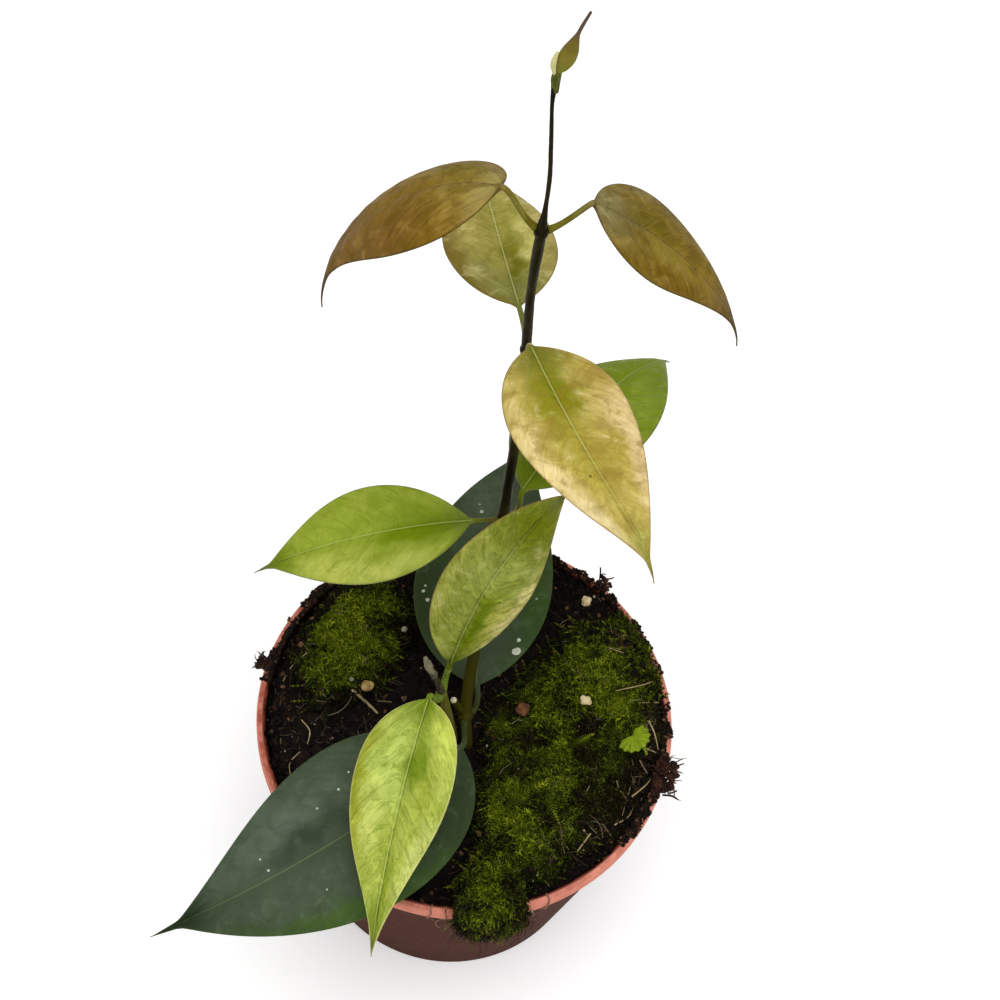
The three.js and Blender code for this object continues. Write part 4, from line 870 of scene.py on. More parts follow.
def makeKnob(node, stretch=1.15):
    bm = ball(3, node["knob"] * mm)
    bmesh.ops.scale(bm, vec=(1, 1, stretch), verts=bm.verts)
    for vert in bm.verts:
        vert.co *= 1 + 0.08 * noise.noise(vert.co * 900)
    bmesh.ops.translate(bm, verts=bm.verts, vec=Vector(node["at"]) * mm)
    return bm


knobs = [makeKnob(nodes[name]) for name in ("old", "first", "middle", "top")]
mainStem = joined([rod(stems["main"], 150, stems["sides"], 0.1), rod(stems["stub"], 14, 14, 0.1), *knobs])
finishPiece("shootStem", mainStem, barkDark, ["main_stem"])
secondStem = joined([rod(stems["second"], 50, stems["sides"], 0.1, seed=3), makeKnob(nodes["second"])])
finishPiece("secondCutting", secondStem, barkGreen, ["second_stem"])
deadWood = makeBark("paleDeadWood", [(0.45, "#1c190f"), (0.65, "#3f3a28"), (0.9, "#8a836a")], 0.85)
finishPiece("deadTwig", rod(stems["twig"], 34, 14, 0.5, seed=5), deadWood)
cutFace = rod([(-3.7, -1.47, 103.9, 0.9), (-3.95, -1.51, 104.6, 0.92), (-4.05, -1.53, 104.85, 0.8)], 6, 14)
cutWood = makePlain("cutWood", 700, [(0.3, "#b9ab8c"), (0.7, "#e2d8c0")], 0.8)
finishPiece("cutFace", cutFace, cutWood)
budNode = rod([(0.9, 40.7, 317.5, 0.6), (0.5, 41, 320.5, 1.05), (0.6, 41, 322.6, 1.0),
               (0.8, 41, 323.7, 0.8)], 16, 16)
finishPiece("budNode", budNode, barkGreen)
print("stems made")


# Moss: sheet moss, soft and damp. Dark at the roots with bright yellow-green tips, matt. The near-black
# among the shoots and in the hollows is partly painted shade.
moss = {
    "gap": 0.5, "edge": 0.9, "heap": (14, -49), "heapHeight": 4.5, "heapSpread": 8, "rings": 44,
    "steps": 200, "tongueRows": 48, "tongueShoots": 1900,
    "overWall": {"moss_right": (14, 44, 900)},  # the shoots at the lip: first angle, last angle, how many
    "beds": {
        "moss_left": {
            "fronds": 420, "thickness": 4.2, "centre": (-35, 20), "shoots": 5200, "seed": 31,
            "outline": [(-45, 33), (-34, 41), (-21, 38), (-17, 27), (-24, 13), (-33, 2), (-43, -2),
                        (-49, 3), (-53, 15), (-50, 26)]},
        "moss_right": {
            "fronds": 1500, "thickness": 5, "centre": (30, -8), "shoots": 14500, "seed": 32,
            "outline": [(6, -11), (6, 3), (12, 13), (20, 26), (31, 37), (40, 36), (47, 31), (53, 18),
                        (56, 3), (53, -14), (48, -26), (42, -34), (34, -39), (30, -45), (16, -52),
                        (5, -50), (7, -38), (8, -25)]},
    },
    # bare places: x, y, radius
    "bare": [(31, 43.5, 2.5), (-15, 27.5, 2.5), (34, 10, 2.2), (-29.5, 7, 2.2), (16, 5, 3), (53, -5, 2),
             (56, -11, 5)],
    # soft hollows, painted in shade and as dead moss, and bright ones: x, y, reach in mm, and how strong
    "hollows": [(9, 7, 7, 0.5), (5, -6, 6, 0.7), (18, -13, 5, 0.6), (26, -26, 5, 0.6), (40, -20, 6, 0.5),
                (53, -10, 8, 0.9), (56, 4, 3, 0.5), (27, 9, 4, 0.3), (21, -3, 4, 0.5), (37, -9, 7, 0.4),
                (12, -38, 5, 0.4), (-53, 20, 6, 0.5), (-52, 33, 7, 0.5), (-51, 2, 7, 0.6),
                (-22, 25, 5, 0.6), (-20, 37, 6, 0.5), (46, -24, 7, 0.7), (40, -36, 5, 0.6),
                (35, -2, 5, 0.5), (-34, 1, 5, 0.9), (36, 30, 3, 0.4)],
    "bright": [(37, 27, 8, 0.45), (34, 17, 6, 0.5), (49, 30, 5, 0.4), (12, -25, 5, 0.6), (20, -31, 5, 0.6),
               (10, -49, 6, 0.7), (17, -51, 5, 0.6), (29, -18, 4, 0.4), (44, 12, 5, 0.4), (-40, 28, 7, 0.7),
               (-38, 19, 5, 0.6), (-42, 9, 4, 0.4), (-31, 31, 4, 0.4)],
    # the tongue over the lip: its angle, then radius, height, thickness and half its width in degrees
    "tongueAngle": -76,
    "tongue": [(47, 90.5, 5, 9), (54, 93.5, 4.2, 10.5), (58.6, 94.2, 3.2, 10.5), (61.5, 93, 2.8, 10.5),
               (62.1, 89, 2.6, 9.5), (61.9, 83.5, 1.8, 5)],
}


def mossTop(x, y, share, thickness):
    tufts = (0.5 * math.sin(0.55 * x + 0.8) * math.sin(0.5 * y)
             + 0.35 * math.cos(0.8 * x + 0.6 * y))
    away = (x - moss["heap"][0]) ** 2 + (y - moss["heap"][1]) ** 2
    heap = moss["heapHeight"] * math.exp(-away / (2 * moss["heapSpread"] ** 2))
    body = (thickness - moss["edge"] + heap + tufts) * (1 - share ** 4)
    return soilTop(x, y) + moss["gap"] + moss["edge"] + body


def mossShade(x, y):  # 0 where the moss is fresh, 1 in the hollows, which get painted shade and turn dead brown
    place = Vector((x, y, 0))
    shade = 0.38 + 0.6 * noise.noise(place * 0.16) + 0.55 * noise.noise(place * 0.5)
    for kind, sign in (("hollows", 1), ("bright", -1)):
        for px, py, reach, strength in moss[kind]:
            shade += sign * strength * math.exp(-((x - px) ** 2 + (y - py) ** 2) / reach ** 2)
    return min(max(shade, 0), 1)


def rimReach(bed):  # how far the bed's rim is from its centre, by angle
    corners = [np.array([x, y, 0], float) for x, y in bed["outline"]]
    ring = corners[-2:] + corners + corners[:3]
    line = [through(ring, (i + 0.5) / 400) for i in range(400)]
    reach = []
    for point in line:
        limit = innerRadius(soilTop(point[0], point[1])) - 0.7
        point = point * min(1, limit / math.hypot(point[0], point[1]))
        x, y = point[0] - bed["centre"][0], point[1] - bed["centre"][1]
        reach.append((math.atan2(y, x) % (2 * math.pi), math.hypot(x, y)))
    reach.sort()
    angles = np.array([a for a, _ in reach])
    lengths = np.array([r for _, r in reach])
    return lambda angle: float(np.interp(angle % (2 * math.pi), angles, lengths, period=2 * math.pi))


def makeMossMaterial():
    material, add = newMaterial("dampSheetMoss")
    place = add("TexCoord", out="Object")
    tuft = add("Attribute", out=1, attribute_name="tuft")
    tall, chance, shade = add("SeparateXYZ", {0: tuft}).node.outputs
    patches = add("TexNoise", {"Vector": place, "Scale": 320, "Detail": 4, "Roughness": 0.6})
    grade = add("Math", {0: patches, 1: 0.35, 2: tall}, operation="MULTIPLY_ADD")
    varied = add("Math", {0: chance, 1: 0.5, 2: grade}, operation="MULTIPLY_ADD")
    # painted shade: shade darkens the moss and turns it brown, and the ramp's near-black low end at the
    # roots is partly painted shade among the shoots
    shaded = add("Math", {0: shade, 1: -0.75, 2: varied}, operation="MULTIPLY_ADD")
    share = add("MapRange", {0: shaded, 1: -0.04, 2: 1.66})
    fresh = add("ValToRGB", {0: share}, stops=[(0.05, "#080a02"), (0.3, "#1e2503"), (0.5, "#3d4a05"),
                                               (0.7, "#68760b"), (0.85, "#919a20"), (1.0, "#bcbc5a")])
    dead = add("ValToRGB", {0: share}, stops=[(0.1, "#0d0803"), (0.4, "#2b1e08"), (0.7, "#5e4a1c"),
                                              (1.0, "#a08a4c")])
    wither = add("MapRange", {0: shade, 1: 0.5, 2: 1.0, 4: 0.7})
    colour = add("Mix", {0: wither, 6: fresh, 7: dead})
    return finishMaterial(material, {
        "Base Color": colour, "Roughness": 0.75, "Specular IOR Level": 0.1, "Subsurface Weight": 0.05,
        "Subsurface Radius": (0.4, 0.8, 0.2), "Subsurface Scale": 0.001})


mossMaterial = makeMossMaterial()


def leaflet(long, wide, *moves):  # one narrow three-sided leaflet, its foot moved by the matrices
    bm = bmesh.new()
    bmesh.ops.create_cone(bm, cap_ends=True, segments=3, radius1=wide, radius2=0, depth=long)
    bmesh.ops.translate(bm, verts=bm.verts, vec=(0, 0, long / 2))
    for move in reversed(moves):
        bmesh.ops.transform(bm, verts=bm.verts, matrix=move)
    return bm


def makeTuft():  # one upright shoot with spreading leaflets, 1 unit tall
    parts = [leaflet(1.0, 0.08)]
    for i in range(1, 6):
        parts.append(leaflet(0.62 - 0.05 * i, 0.085, Matrix.Translation((0, 0, 0.13 * i)),
                             Matrix.Rotation(2.4 * i, 4, "Z"), Matrix.Rotation(1.0, 4, "Y")))
    return joined(parts)


def makeFrond(pairs, bend):  # one creeping shoot with leaflets on both sides, 1 unit long
    parts = []
    for i in range(pairs + 1):
        share = i / (pairs + 1)
        place = Matrix.Translation((0, bend * (math.cos(2.2 * share) - 1), share))
        ahead = Matrix.Rotation(bend * 2.2 * math.sin(2.2 * share), 4, "X")
        parts.append(leaflet(1.25 / (pairs + 1), 0.028, place, ahead))
        for side in (-1, 1):
            parts.append(leaflet(0.24 * (1 - share) + 0.05, 0.03, place, ahead,
                                 Matrix.Rotation(side * 0.85, 4, "Y")))
    return joined(parts)


def bareGround(x, y):
    return any(math.hypot(x - bx, y - by) < r for bx, by, r in moss["bare"])


def makeMoss(name, bed):
    reach = rimReach(bed)
    cx, cy = bed["centre"]
    rings = moss["rings"]

    def top(x, y, share):
        place = Vector((x, y, 0))
        lumps = 1.5 * noise.noise(place * 0.2) + 1.0 * noise.noise(place * 0.45) - 0.9 * mossShade(x, y)
        return (mossTop(x, y, share, bed["thickness"]) + rimBank(x, y)
                + (1 - share ** 4) * (lumps + 0.5 * noise.noise(place * 1.1)))

    def shareAt(x, y):
        return math.hypot(x - cx, y - cy) / reach(math.atan2(y - cy, x - cx))

    def ragged(place):  # share of the outline that the moss reaches
        return min(1 + 0.3 * noise.noise(place), 1)

    def placeAt(row, turn):
        angle = 2 * math.pi * turn
        share = row / rings if row <= rings else max(0, (rings + 6 - row) / 6)
        radius = reach(angle) * ragged(Vector((*polar(3, angle), bed["seed"]))) * share
        x, y = polar(radius, angle, cx, cy)
        # painted shade: the bed's body under the shoots takes the dark low end of the colours, and its
        # skirt full shade
        if row <= rings:
            return (x, y, top(x, y, share)), (0.1, 0.3, 0.3 + 0.7 * mossShade(x, y))
        return (x, y, soilTop(x, y) + moss["gap"]), (0, 0.5, 1)

    bed["shareAt"], bed["top"] = shareAt, top
    bed["body"] = rollGrid(rings + 7, moss["steps"], placeAt, [("tuft", "float_vector")])
    rand = random.Random(bed["seed"])
    places = []
    while len(places) < bed["shoots"]:
        angle, share = 2 * math.pi * rand.random(), math.sqrt(rand.random()) * 1.08
        radius = reach(angle) * share
        x, y = polar(radius, angle, cx, cy)
        shade = mossShade(x, y)
        if bareGround(x, y) or math.hypot(x, y) > peat["reach"] or rand.random() < 0.55 * shade:
            continue
        place = Vector((x, y, 0))
        outward = Vector((3 * (x - cx), 3 * (y - cy), 0)).normalized()
        edge = ragged(outward * 3 + Vector((0, 0, bed["seed"])))
        if share > edge and rand.random() < 0.72:
            continue
        foot = top(x, y, share) - 0.7 if share < edge else fineSoil(x, y) - 0.3
        tall = (1.6 + 2.0 * rand.random()) * (1 + 0.6 * noise.noise(place * 0.3)) * (1 - 0.35 * share ** 6)
        way = (rand.gauss(0, 0.55) + 1.1 * noise.noise(place * 0.13),
               rand.gauss(0, 0.55) + 1.1 * noise.noise(place * 0.13 + Vector((9, 9, 0))), 1.0)
        # painted shade: shoots grow darker towards the bed's rim
        places.append((turned((x, y, foot), way, spin(rand), tall),
                       rand.random(), min(1, shade + 0.3 * share ** 6)))
    first, last, count = moss["overWall"].get(name, (0, 0, 0))
    for i in range(count):  # shoots that lean over the wall
        angle, radius = math.radians(rand.uniform(first, last)), 48 + 9.6 * math.sqrt(rand.random())
        x, y = polar(radius, angle)
        if noise.noise(Vector((x, y, 4)) * 0.35) > 0.22 or bareGround(x, y):
            continue
        foot = max(fineSoil(x, y) - 0.3, top(x, y, 0.97) - 0.7 if radius < 54 else 0)
        way = (0.5 * math.cos(angle) + rand.gauss(0, 0.5), 0.5 * math.sin(angle) + rand.gauss(0, 0.5), 1.0)
        tall = 1.6 + 2.2 * rand.random()
        places.append((turned((x, y, foot), way, spin(rand), tall), rand.random(),
                       min(1, max(0, 0.35 + 0.7 * noise.noise(Vector((x, y, 0)) * 0.3)))))
    return places


def makeFronds(bed):  # creeping shoots that lie on the bed
    rand = random.Random(bed["seed"] + 10)
    cx, cy = bed["centre"]
    places = []
    while len(places) < bed["fronds"]:
        x, y = cx + rand.uniform(-45, 45), cy + rand.uniform(-50, 50)
        share = bed["shareAt"](x, y)
        shade = mossShade(x, y)
        if share > 0.97 or math.hypot(x, y) > 54 or bareGround(x, y) or rand.random() < 0.6 * shade:
            continue
        heading = spin(rand)
        long = 2.6 + 4.2 * rand.random() ** 2
        if math.hypot(*polar(long, heading, x, y)) > 56:
            heading += math.pi
        way = (*polar(1, heading), rand.uniform(0.12, 0.6))
        places.append((turned((x, y, bed["top"](x, y, share) + 0.5), way, heading + math.pi / 2
                              + rand.gauss(0, 0.3), long), rand.random(), shade * 0.8))
    return places


def tongueAt(share):  # radius, height, thickness, half width and slope there
    along = share * (len(moss["tongue"]) - 1)
    low = min(int(along), len(moss["tongue"]) - 2)
    first, last = moss["tongue"][low], moss["tongue"][low + 1]
    r, z, thick, half = (a + (b - a) * (along - low) for a, b in zip(first, last))
    return r, z, thick, half, math.atan2(last[1] - first[1], last[0] - first[0])


def tonguePoint(share, sideways, outwards):
    r, z, thick, half, slope = tongueAt(share)
    r -= math.sin(slope) * outwards * thick
    angle = math.radians(moss["tongueAngle"] + half * sideways)
    return Vector((*polar(r, angle), z + math.cos(slope) * outwards * thick))


def makeTongue():
    def placeAt(row, turn):
        angle = 2 * math.pi * turn
        share = row / (moss["tongueRows"] - 1)
        rise = min(1, 0.15 + share / 0.3)
        ragged = 1 + 0.22 * noise.noise(Vector((share * 5, 3 * math.copysign(1, math.cos(angle)), 7)))
        point = tonguePoint(share, math.cos(angle) * min(ragged, 1.08) * 0.92, math.sin(angle) / 2 * rise)
        point.z -= 1.6 * (1 - rise)
        shift = noise.noise_vector(point * 0.3) * 0.7 + noise.noise_vector(point * 0.8) * 0.5
        outward = Vector((point.x, point.y, 0)).normalized()
        shift -= outward * min(0, shift.dot(outward)) if point.z < 92 else Vector()
        # painted shade: the tongue's body under its shoots is dark
        return point + shift, (0.1, 0.3, 0.6 + 0.4 * noise.noise(point * 0.5))

    body = rollGrid(moss["tongueRows"], 48, placeAt, [("tuft", "float_vector")])
    rand = random.Random(33)
    tufts, fronds = [], []
    for i in range(moss["tongueShoots"]):
        share, sideways = 0.02 + 0.98 * rand.random() ** 0.8, 1.9 * (rand.random() - 0.5)
        # painted shade: shoots darken and turn brown towards the tongue's sides and lower end
        shade = min(1, max(0, 0.3 + 0.6 * abs(sideways) ** 3 + 1.1 * max(0, share - 0.5)
                           + 1.0 * noise.noise(Vector((share * 6, sideways * 2.4, 1)))))
        if share > 0.6 and noise.noise(Vector((share * 4, sideways * 5, 8))) > 0.1:
            continue
        foot = tonguePoint(share, sideways * 0.95, 0.34 * math.sqrt(max(0, 1 - sideways ** 2)))
        out = tonguePoint(share, sideways, 1.2) - tonguePoint(share, sideways, 0)
        low = min(share + 0.1, 1)
        down = tonguePoint(low, sideways, 0) - tonguePoint(low - 0.1, sideways, 0)
        way = out.normalized() * 0.9 + down.normalized() * 0.6 * rand.random()
        way += Vector((rand.gauss(0, 0.5), rand.gauss(0, 0.5), rand.gauss(-0.2, 0.45)))
        tall = 1.4 + 2.2 * rand.random() ** 2
        place = (turned(foot, way, spin(rand), tall), rand.random(), shade)
        tufts.append(place)
        if i % 5 == 0:
            long = 2.4 + 2.6 * rand.random()
            fronds.append((turned(foot, way + down.normalized(), spin(rand), long),
                           rand.random(), shade * 0.7))
    return body, tufts, fronds


beds = moss["beds"]
leftShoots = makeMoss("moss_left", beds["moss_left"])
rightShoots = makeMoss("moss_right", beds["moss_right"])
tongueBody, tongueShoots, tongueFronds = makeTongue()
finishPiece("mossBedLeft", beds["moss_left"]["body"], mossMaterial, ["moss_left"])
finishPiece("mossBedRight", joined([beds["moss_right"]["body"], tongueBody]), mossMaterial,
            ["moss_right"])
rightShoots.sort(key=lambda shoot: shoot[0].translation.y)
half = len(rightShoots) // 2
front, back = rightShoots[:half], rightShoots[half:]
scatter("mossShootsLeft", makeTuft(), leftShoots, mossMaterial)
scatter("mossShootsFront", makeTuft(), front, mossMaterial)
scatter("mossShootsBack", makeTuft(), back, mossMaterial)
scatter("mossShootsTongue", makeTuft(), tongueShoots, mossMaterial)
scatter("mossFrondsLeft", makeFrond(4, 0.2), makeFronds(beds["moss_left"]), mossMaterial)
scatter("mossFrondsRight", makeFrond(4, 0.25), makeFronds(beds["moss_right"]), mossMaterial)
scatter("mossFrondsTongue", makeFrond(4, 0.2), tongueFronds, mossMaterial)


def groundAt(x, y):  # height of the peat or moss there
    height = fineSoil(x, y)
    for bed in beds.values():
        share = bed["shareAt"](x, y)
        if share < 0.97:
            height = max(height, bed["top"](x, y, share) + 1.2)
    return height


def longFrond(start, end, chance):  # a frond between two places on the moss
    (x, y), (u, v) = start, end
    way = Vector((u - x, v - y, groundAt(u, v) - groundAt(x, y)))
    return (turned((x, y, groundAt(x, y) + 0.8), way, math.atan2(v - y, u - x) + math.pi / 2,
                   way.length), chance, 0)


scatter("mossLongFronds", makeFrond(11, 0.08), [
    longFrond((15.8, -23.9), (26.9, -15.2), 0.9), longFrond((30.9, -4.5), (37.7, 0.6), 0.8),
    longFrond((25.3, -19.4), (30.5, -29), 0.7), longFrond((20, 2), (12, -4), 0.5),
    longFrond((36, 24), (29, 30), 0.5), longFrond((41, -2), (46, 6), 0.4),
    longFrond((-40, 30), (-33, 24), 0.6), longFrond((-43, 12), (-38, 5), 0.5)], mossMaterial)
print("moss made", len(leftShoots), len(front), len(back))


# Litter: crumbs of peat, root fibres and bits of dead moss over the peat and along the wall
litter = {
    "crumbs": 4200, "bankCrumbs": 1500, "fibres": 140, "deadEnds": 44, "hairs": 260, "chips": 230,
    "grit": 90,
    # crumbs on the lip: first and last angle, and how many
    "lipAreas": [(140, 178, 1200), (-24, 8, 1300), (8, 36, 250), (36, 70, 420), (70, 140, 600),
                 (-34, -24, 200)],
    # x, y and radius of white bits, and of the places where dry bits gather
    "paleBits": [(-21.5, 26, 1.2), (-34.6, 8.5, 1.0), (-19, 7, 0.5), (-27, 9, 0.4), (33.2, 45, 0.6)],
    "chipAreas": [(36, -32, 10), (44, -29, 8), (52, -14, 7), (55, -6, 5), (31, 42, 9), (-38, -3, 9),
                  (-26, 5, 8), (-50, -5, 7), (56, 6, 4), (46, 33, 6)],
}


def makeLitterMaterial(name, stops):  # dry plant bits, each of one colour, matt
    material, add = newMaterial(name)
    tuft = add("Attribute", out=1, attribute_name="tuft")
    chance = add("SeparateXYZ", {0: tuft}, out=1)
    colour = add("ValToRGB", {0: chance}, stops=stops)
    return finishMaterial(material, {"Base Color": colour, "Roughness": 0.8, "Specular IOR Level": 0.12})


peatBits = makeLitterMaterial("peatCrumbs", [
    (0.0, "#030201"), (0.5, "#0b0604"), (0.8, "#1b0f09"), (0.93, "#2f1c11"), (1.0, "#6b4d36")])
dryBits = makeLitterMaterial("dryRootsAndBark", [
    (0.0, "#0f0805"), (0.4, "#20140c"), (0.7, "#3f2b1d"), (0.9, "#736449"), (1.0, "#aaa390")])


def openPeat(rand):  # a random place on the peat, seldom inside a bed of moss
    while True:
        r, angle = peat["reach"] * math.sqrt(rand.random()), 2 * math.pi * rand.random()
        x, y = polar(r, angle)
        if all(bed["shareAt"](x, y) > 0.85 or mossShade(x, y) > 0.85 + 0.5 * rand.random()
               for bed in beds.values()):
            return x, y


def inArea(rand):  # a random place in one of the littered areas
    cx, cy, reach = rand.choice(litter["chipAreas"])
    while True:
        x, y = rand.gauss(cx, reach / 2), rand.gauss(cy, reach / 2)
        if math.hypot(x, y) < 56.5:
            return x, y


def grain(rand, place, size, flat):  # a crumb that lies as it fell
    way = (rand.gauss(0, 1), rand.gauss(0, 1), 1)
    return turned(place, way, spin(rand, 6), (size, size * 0.8, size * flat))


def thread(rand, x, y, least, more, lift, limit, slim=1.0):  # from x, y to a random place on the ground
    heading, long = spin(rand), least + more * rand.random() ** 2
    u, v = polar(long, heading, x, y)
    if math.hypot(u, v) > limit:
        u, v = 2 * x - u, 2 * y - v
    start, end = groundAt(x, y) + lift[0], groundAt(u, v) + lift[1]
    return turned((x, y, start), (u - x, v - y, end - start), spin(rand), (long * slim, long * slim, long))


def makeCrumbs(rand):
    places = []
    for i in range(litter["crumbs"]):
        x, y = openPeat(rand)
        size = 0.3 + 0.9 * rand.random() ** 3
        place = (x, y, groundAt(x, y) + 0.15 * size)
        places.append((grain(rand, place, size, 0.6), rand.random() ** 1.5, 0))
    for i in range(litter["bankCrumbs"]):
        angle, r = 2 * math.pi * rand.random(), rand.uniform(53, 57)
        size = 0.4 + 0.8 * rand.random() ** 2
        x, y = polar(r, angle)
        if 0.15 < angle < 0.95 and rand.random() < 0.85:  # moss reaches the wall there
            continue
        rise = min(groundAt(x, y) + 0.2 * size, pot["height"] - 0.4)
        places.append((grain(rand, (x, y, rise), size, 0.7), rand.random() ** 1.5, 0))
    for first, last, count in litter["lipAreas"]:
        for i in range(count):
            angle, r = math.radians(rand.uniform(first, last)), 57.2 + 2.7 * rand.random()
            size = 0.3 + 0.55 * rand.random() ** 2
            if noise.noise(Vector((angle * 11, r * 0.4, 2))) < 0.3 * (r - 59.6):  # thinner outwards
                continue
            place = (*polar(r, angle), pot["height"] - 0.1 + 0.5 * size)
            places.append((grain(rand, place, size, 0.7), 0.35 + 0.65 * rand.random(), 0))
    scatter("peatCrumbs", ball(1), places, peatBits)


def unitRod(stations, steps, sides):  # a template 1 unit long
    bm = rod(stations, steps, sides)
    bmesh.ops.scale(bm, verts=bm.verts, vec=(1000, 1000, 1000))
    return bm


def makeFibres(rand):
    bends = [(1, -1), (2, 2), (-0.3, 0.4)]
    for (a, b), letter in zip(bends, "ABC"):
        template = unitRod([(0, 0, 0, 0.022), (0.1 * a, 0.06, 0.35, 0.022), (0.12 * b, -0.05, 0.7, 0.018),
                            (0, 0, 1, 0.008)], 7, 4)
        places = []
        for i in range(litter["fibres"]):
            x, y = openPeat(rand) if i % 3 else inArea(rand)
            places.append((thread(rand, x, y, 2.5, 7, (0.3, 0.35), 56.8, 0.6), rand.random() ** 1.3, 0))
        for i in range(litter["deadEnds"]):  # under the tongue of moss
            share, sideways = rand.uniform(0.6, 1), rand.uniform(-1.1, 1.1)
            below = tonguePoint(1, sideways, 0) - tonguePoint(0.8, sideways, 0)
            shift = Vector((rand.gauss(0, 0.5), rand.gauss(-0.2, 0.4), rand.gauss(0, 0.3)))
            long = 2.5 + 4 * rand.random() ** 2
            place = tonguePoint(share, sideways, 0.7)
            places.append((turned(place, below.normalized() + shift, spin(rand), long),
                           0.7 * rand.random(), 0))
        scatter("rootFibres" + letter, template, places, dryBits)


def makeLitter():
    rand = random.Random(51)
    makeCrumbs(rand)
    makeFibres(rand)
    hair = unitRod([(0, 0, 0, 0.011), (0.12, 0.08, 0.4, 0.011), (-0.1, 0, 0.75, 0.01), (0, 0, 1, 0.006)],
                   8, 3)
    places = []
    for i in range(litter["hairs"]):  # pale threads over the moss
        r, angle = 54 * math.sqrt(rand.random()), 2 * math.pi * rand.random()
        places.append((thread(rand, *polar(r, angle), 2, 4, (0.7, 0.7), 56.5),
                       0.75 + 0.25 * rand.random(), 0))
    scatter("paleThreads", hair, places, dryBits)
    chip = bmesh.new()
    bmesh.ops.create_cube(chip, size=1)
    bmesh.ops.scale(chip, verts=chip.verts, vec=(0.11, 0.06, 1))
    places = []
    for i in range(litter["chips"]):
        x, y = inArea(rand)
        heading, long = spin(rand), 1.2 + 3.2 * rand.random() ** 2
        way = (*polar(1, heading), rand.gauss(0, 0.25))
        places.append((turned((x, y, groundAt(x, y) + 0.25), way, heading + math.pi / 2,
                              (long * 0.8, long, long)), 0.93 * rand.random(), 0))
    scatter("dryChips", chip, places, dryBits)
    places = []
    for i in range(litter["grit"]):
        x, y = openPeat(rand)
        size = 0.14 + 0.25 * rand.random() ** 3
        places.append((turned((x, y, groundAt(x, y) + 0.3), (0, 0, 1), spin(rand, 6), size),
                       0.9 + 0.1 * rand.random(), 0))
    for x, y, size in litter["paleBits"]:
        places.append((turned((x, y, groundAt(x, y) + 0.5 * size), (0.3, 0.2, 1), spin(rand, 6),
                              (size, size * 0.8, size * 0.7)), 0.97, 0))
    scatter("palePerlite", ball(1), places, dryBits)


makeLitter()

# Straws and roots: runs of x, y and height above the ground, with a radius
straws = [
    [(42.2, 13.8, 1.4, 0.14), (49.8, 16.5, 1.2, 0.17), (54.1, 20.3, 0.6, 0.13)],
    [(52.7, 5.5, 0.8, 0.2), (54.5, 1.5, 1.0, 0.2), (56.3, -2.2, 0.6, 0.14)],
    [(52.3, -3.3, 1.2, 0.25), (55.7, -3, 0.6, 0.2)],
    [(37.4, -29.6, 0.8, 0.3), (42.2, -34.4, 0.8, 0.2)], [(39.5, -30.6, 0.8, 0.25), (36.4, -36, 0.8, 0.2)],
    [(39.2, 27.5, 0.8, 0.2), (43.1, 26.4, 0.9, 0.15)], [(49.5, 11.5, 0.6, 0.18), (55.4, 12.8, 0.5, 0.14)],
    [(-54.1, 5, 0.8, 0.16), (-52.4, 10.5, 1.3, 0.16), (-48.4, 13.6, 1.2, 0.12)],
    [(-45.7, -15.2, 0.4, 0.16), (-48, -19, 0.8, 0.15), (-47.2, -23.2, 0.4, 0.1)],
    [(-33.8, 4.9, 0.5, 0.4), (-29, 3.4, 0.8, 0.45), (-25.5, 0.7, 0.5, 0.3)],
    [(-47, -5, 0.6, 0.2), (-44, -8.5, 0.9, 0.2), (-44, -12.5, 0.5, 0.12)],
    [(50, -18, 0.7, 0.25), (54, -13, 0.9, 0.2), (56.3, -9, 0.6, 0.15)],
    [(46, -27, 0.7, 0.2), (50, -22.5, 0.9, 0.2), (51.5, -17, 0.6, 0.15)],
]
paleStraw = makePlain("dryStraw", 500, [(0.3, "#84704e"), (0.6, "#ab9870"), (0.8, "#d2c6a4")], 0.7)
strawRods = []
for run in straws:
    stations = [(x, y, groundAt(x, y) + rise, radius) for x, y, rise, radius in run]
    strawRods.append(rod(stations, 24, 7, 0.2, level=(0.1, 0.2, 1)))
finishPiece("strawBits", joined(strawRods), paleStraw)

# Roots that hang over the lip and lie on the wall: angle, end angle, end height, radius
hanging = [(-61, -61.6, 62, 0.2), (-60, -59.4, 70, 0.15), (-78, -83, 60, 0.28), (-88, -89.6, 64, 0.2),
           (-93, -91.5, 74, 0.18), (-70, -70.6, 68, 0.22), (-84, -82, 70, 0.15), (-81, -80, 66, 0.2)]
overLip = [(57.5, 91.8), (59.5, 92.2), (60.1, 91.2), (60.1, 87.4), (58.4, 85.2)]  # radius and height
overLip += [(43 + 15.2 * (z - 0.6) / 86.4, z) for z in (80, 75, 70, 65, 60)]  # down the wall
hangingRods = []
for first, last, low, radius in hanging:
    stations = []
    for r, z in overLip:
        if z < low:
            break
        share = (92.4 - z) / (92.4 - low)
        angle = math.radians(first + (last - first) * share + 1.2 * math.sin(7 * share + first))
        stations.append((*polar(r + radius, angle), z, radius * (1.1 - 0.5 * share)))
    hangingRods.append(rod(stations, 40, 7, 0.25, level=(0, 1, 0.3)))
darkRoot = makePlain("darkRoot", 500, [(0.3, "#56392a"), (0.6, "#8d6b54"), (0.8, "#c4a98f")], 0.75)
finishPiece("hangingRoots", joined(hangingRods), darkRoot)
print("litter made")


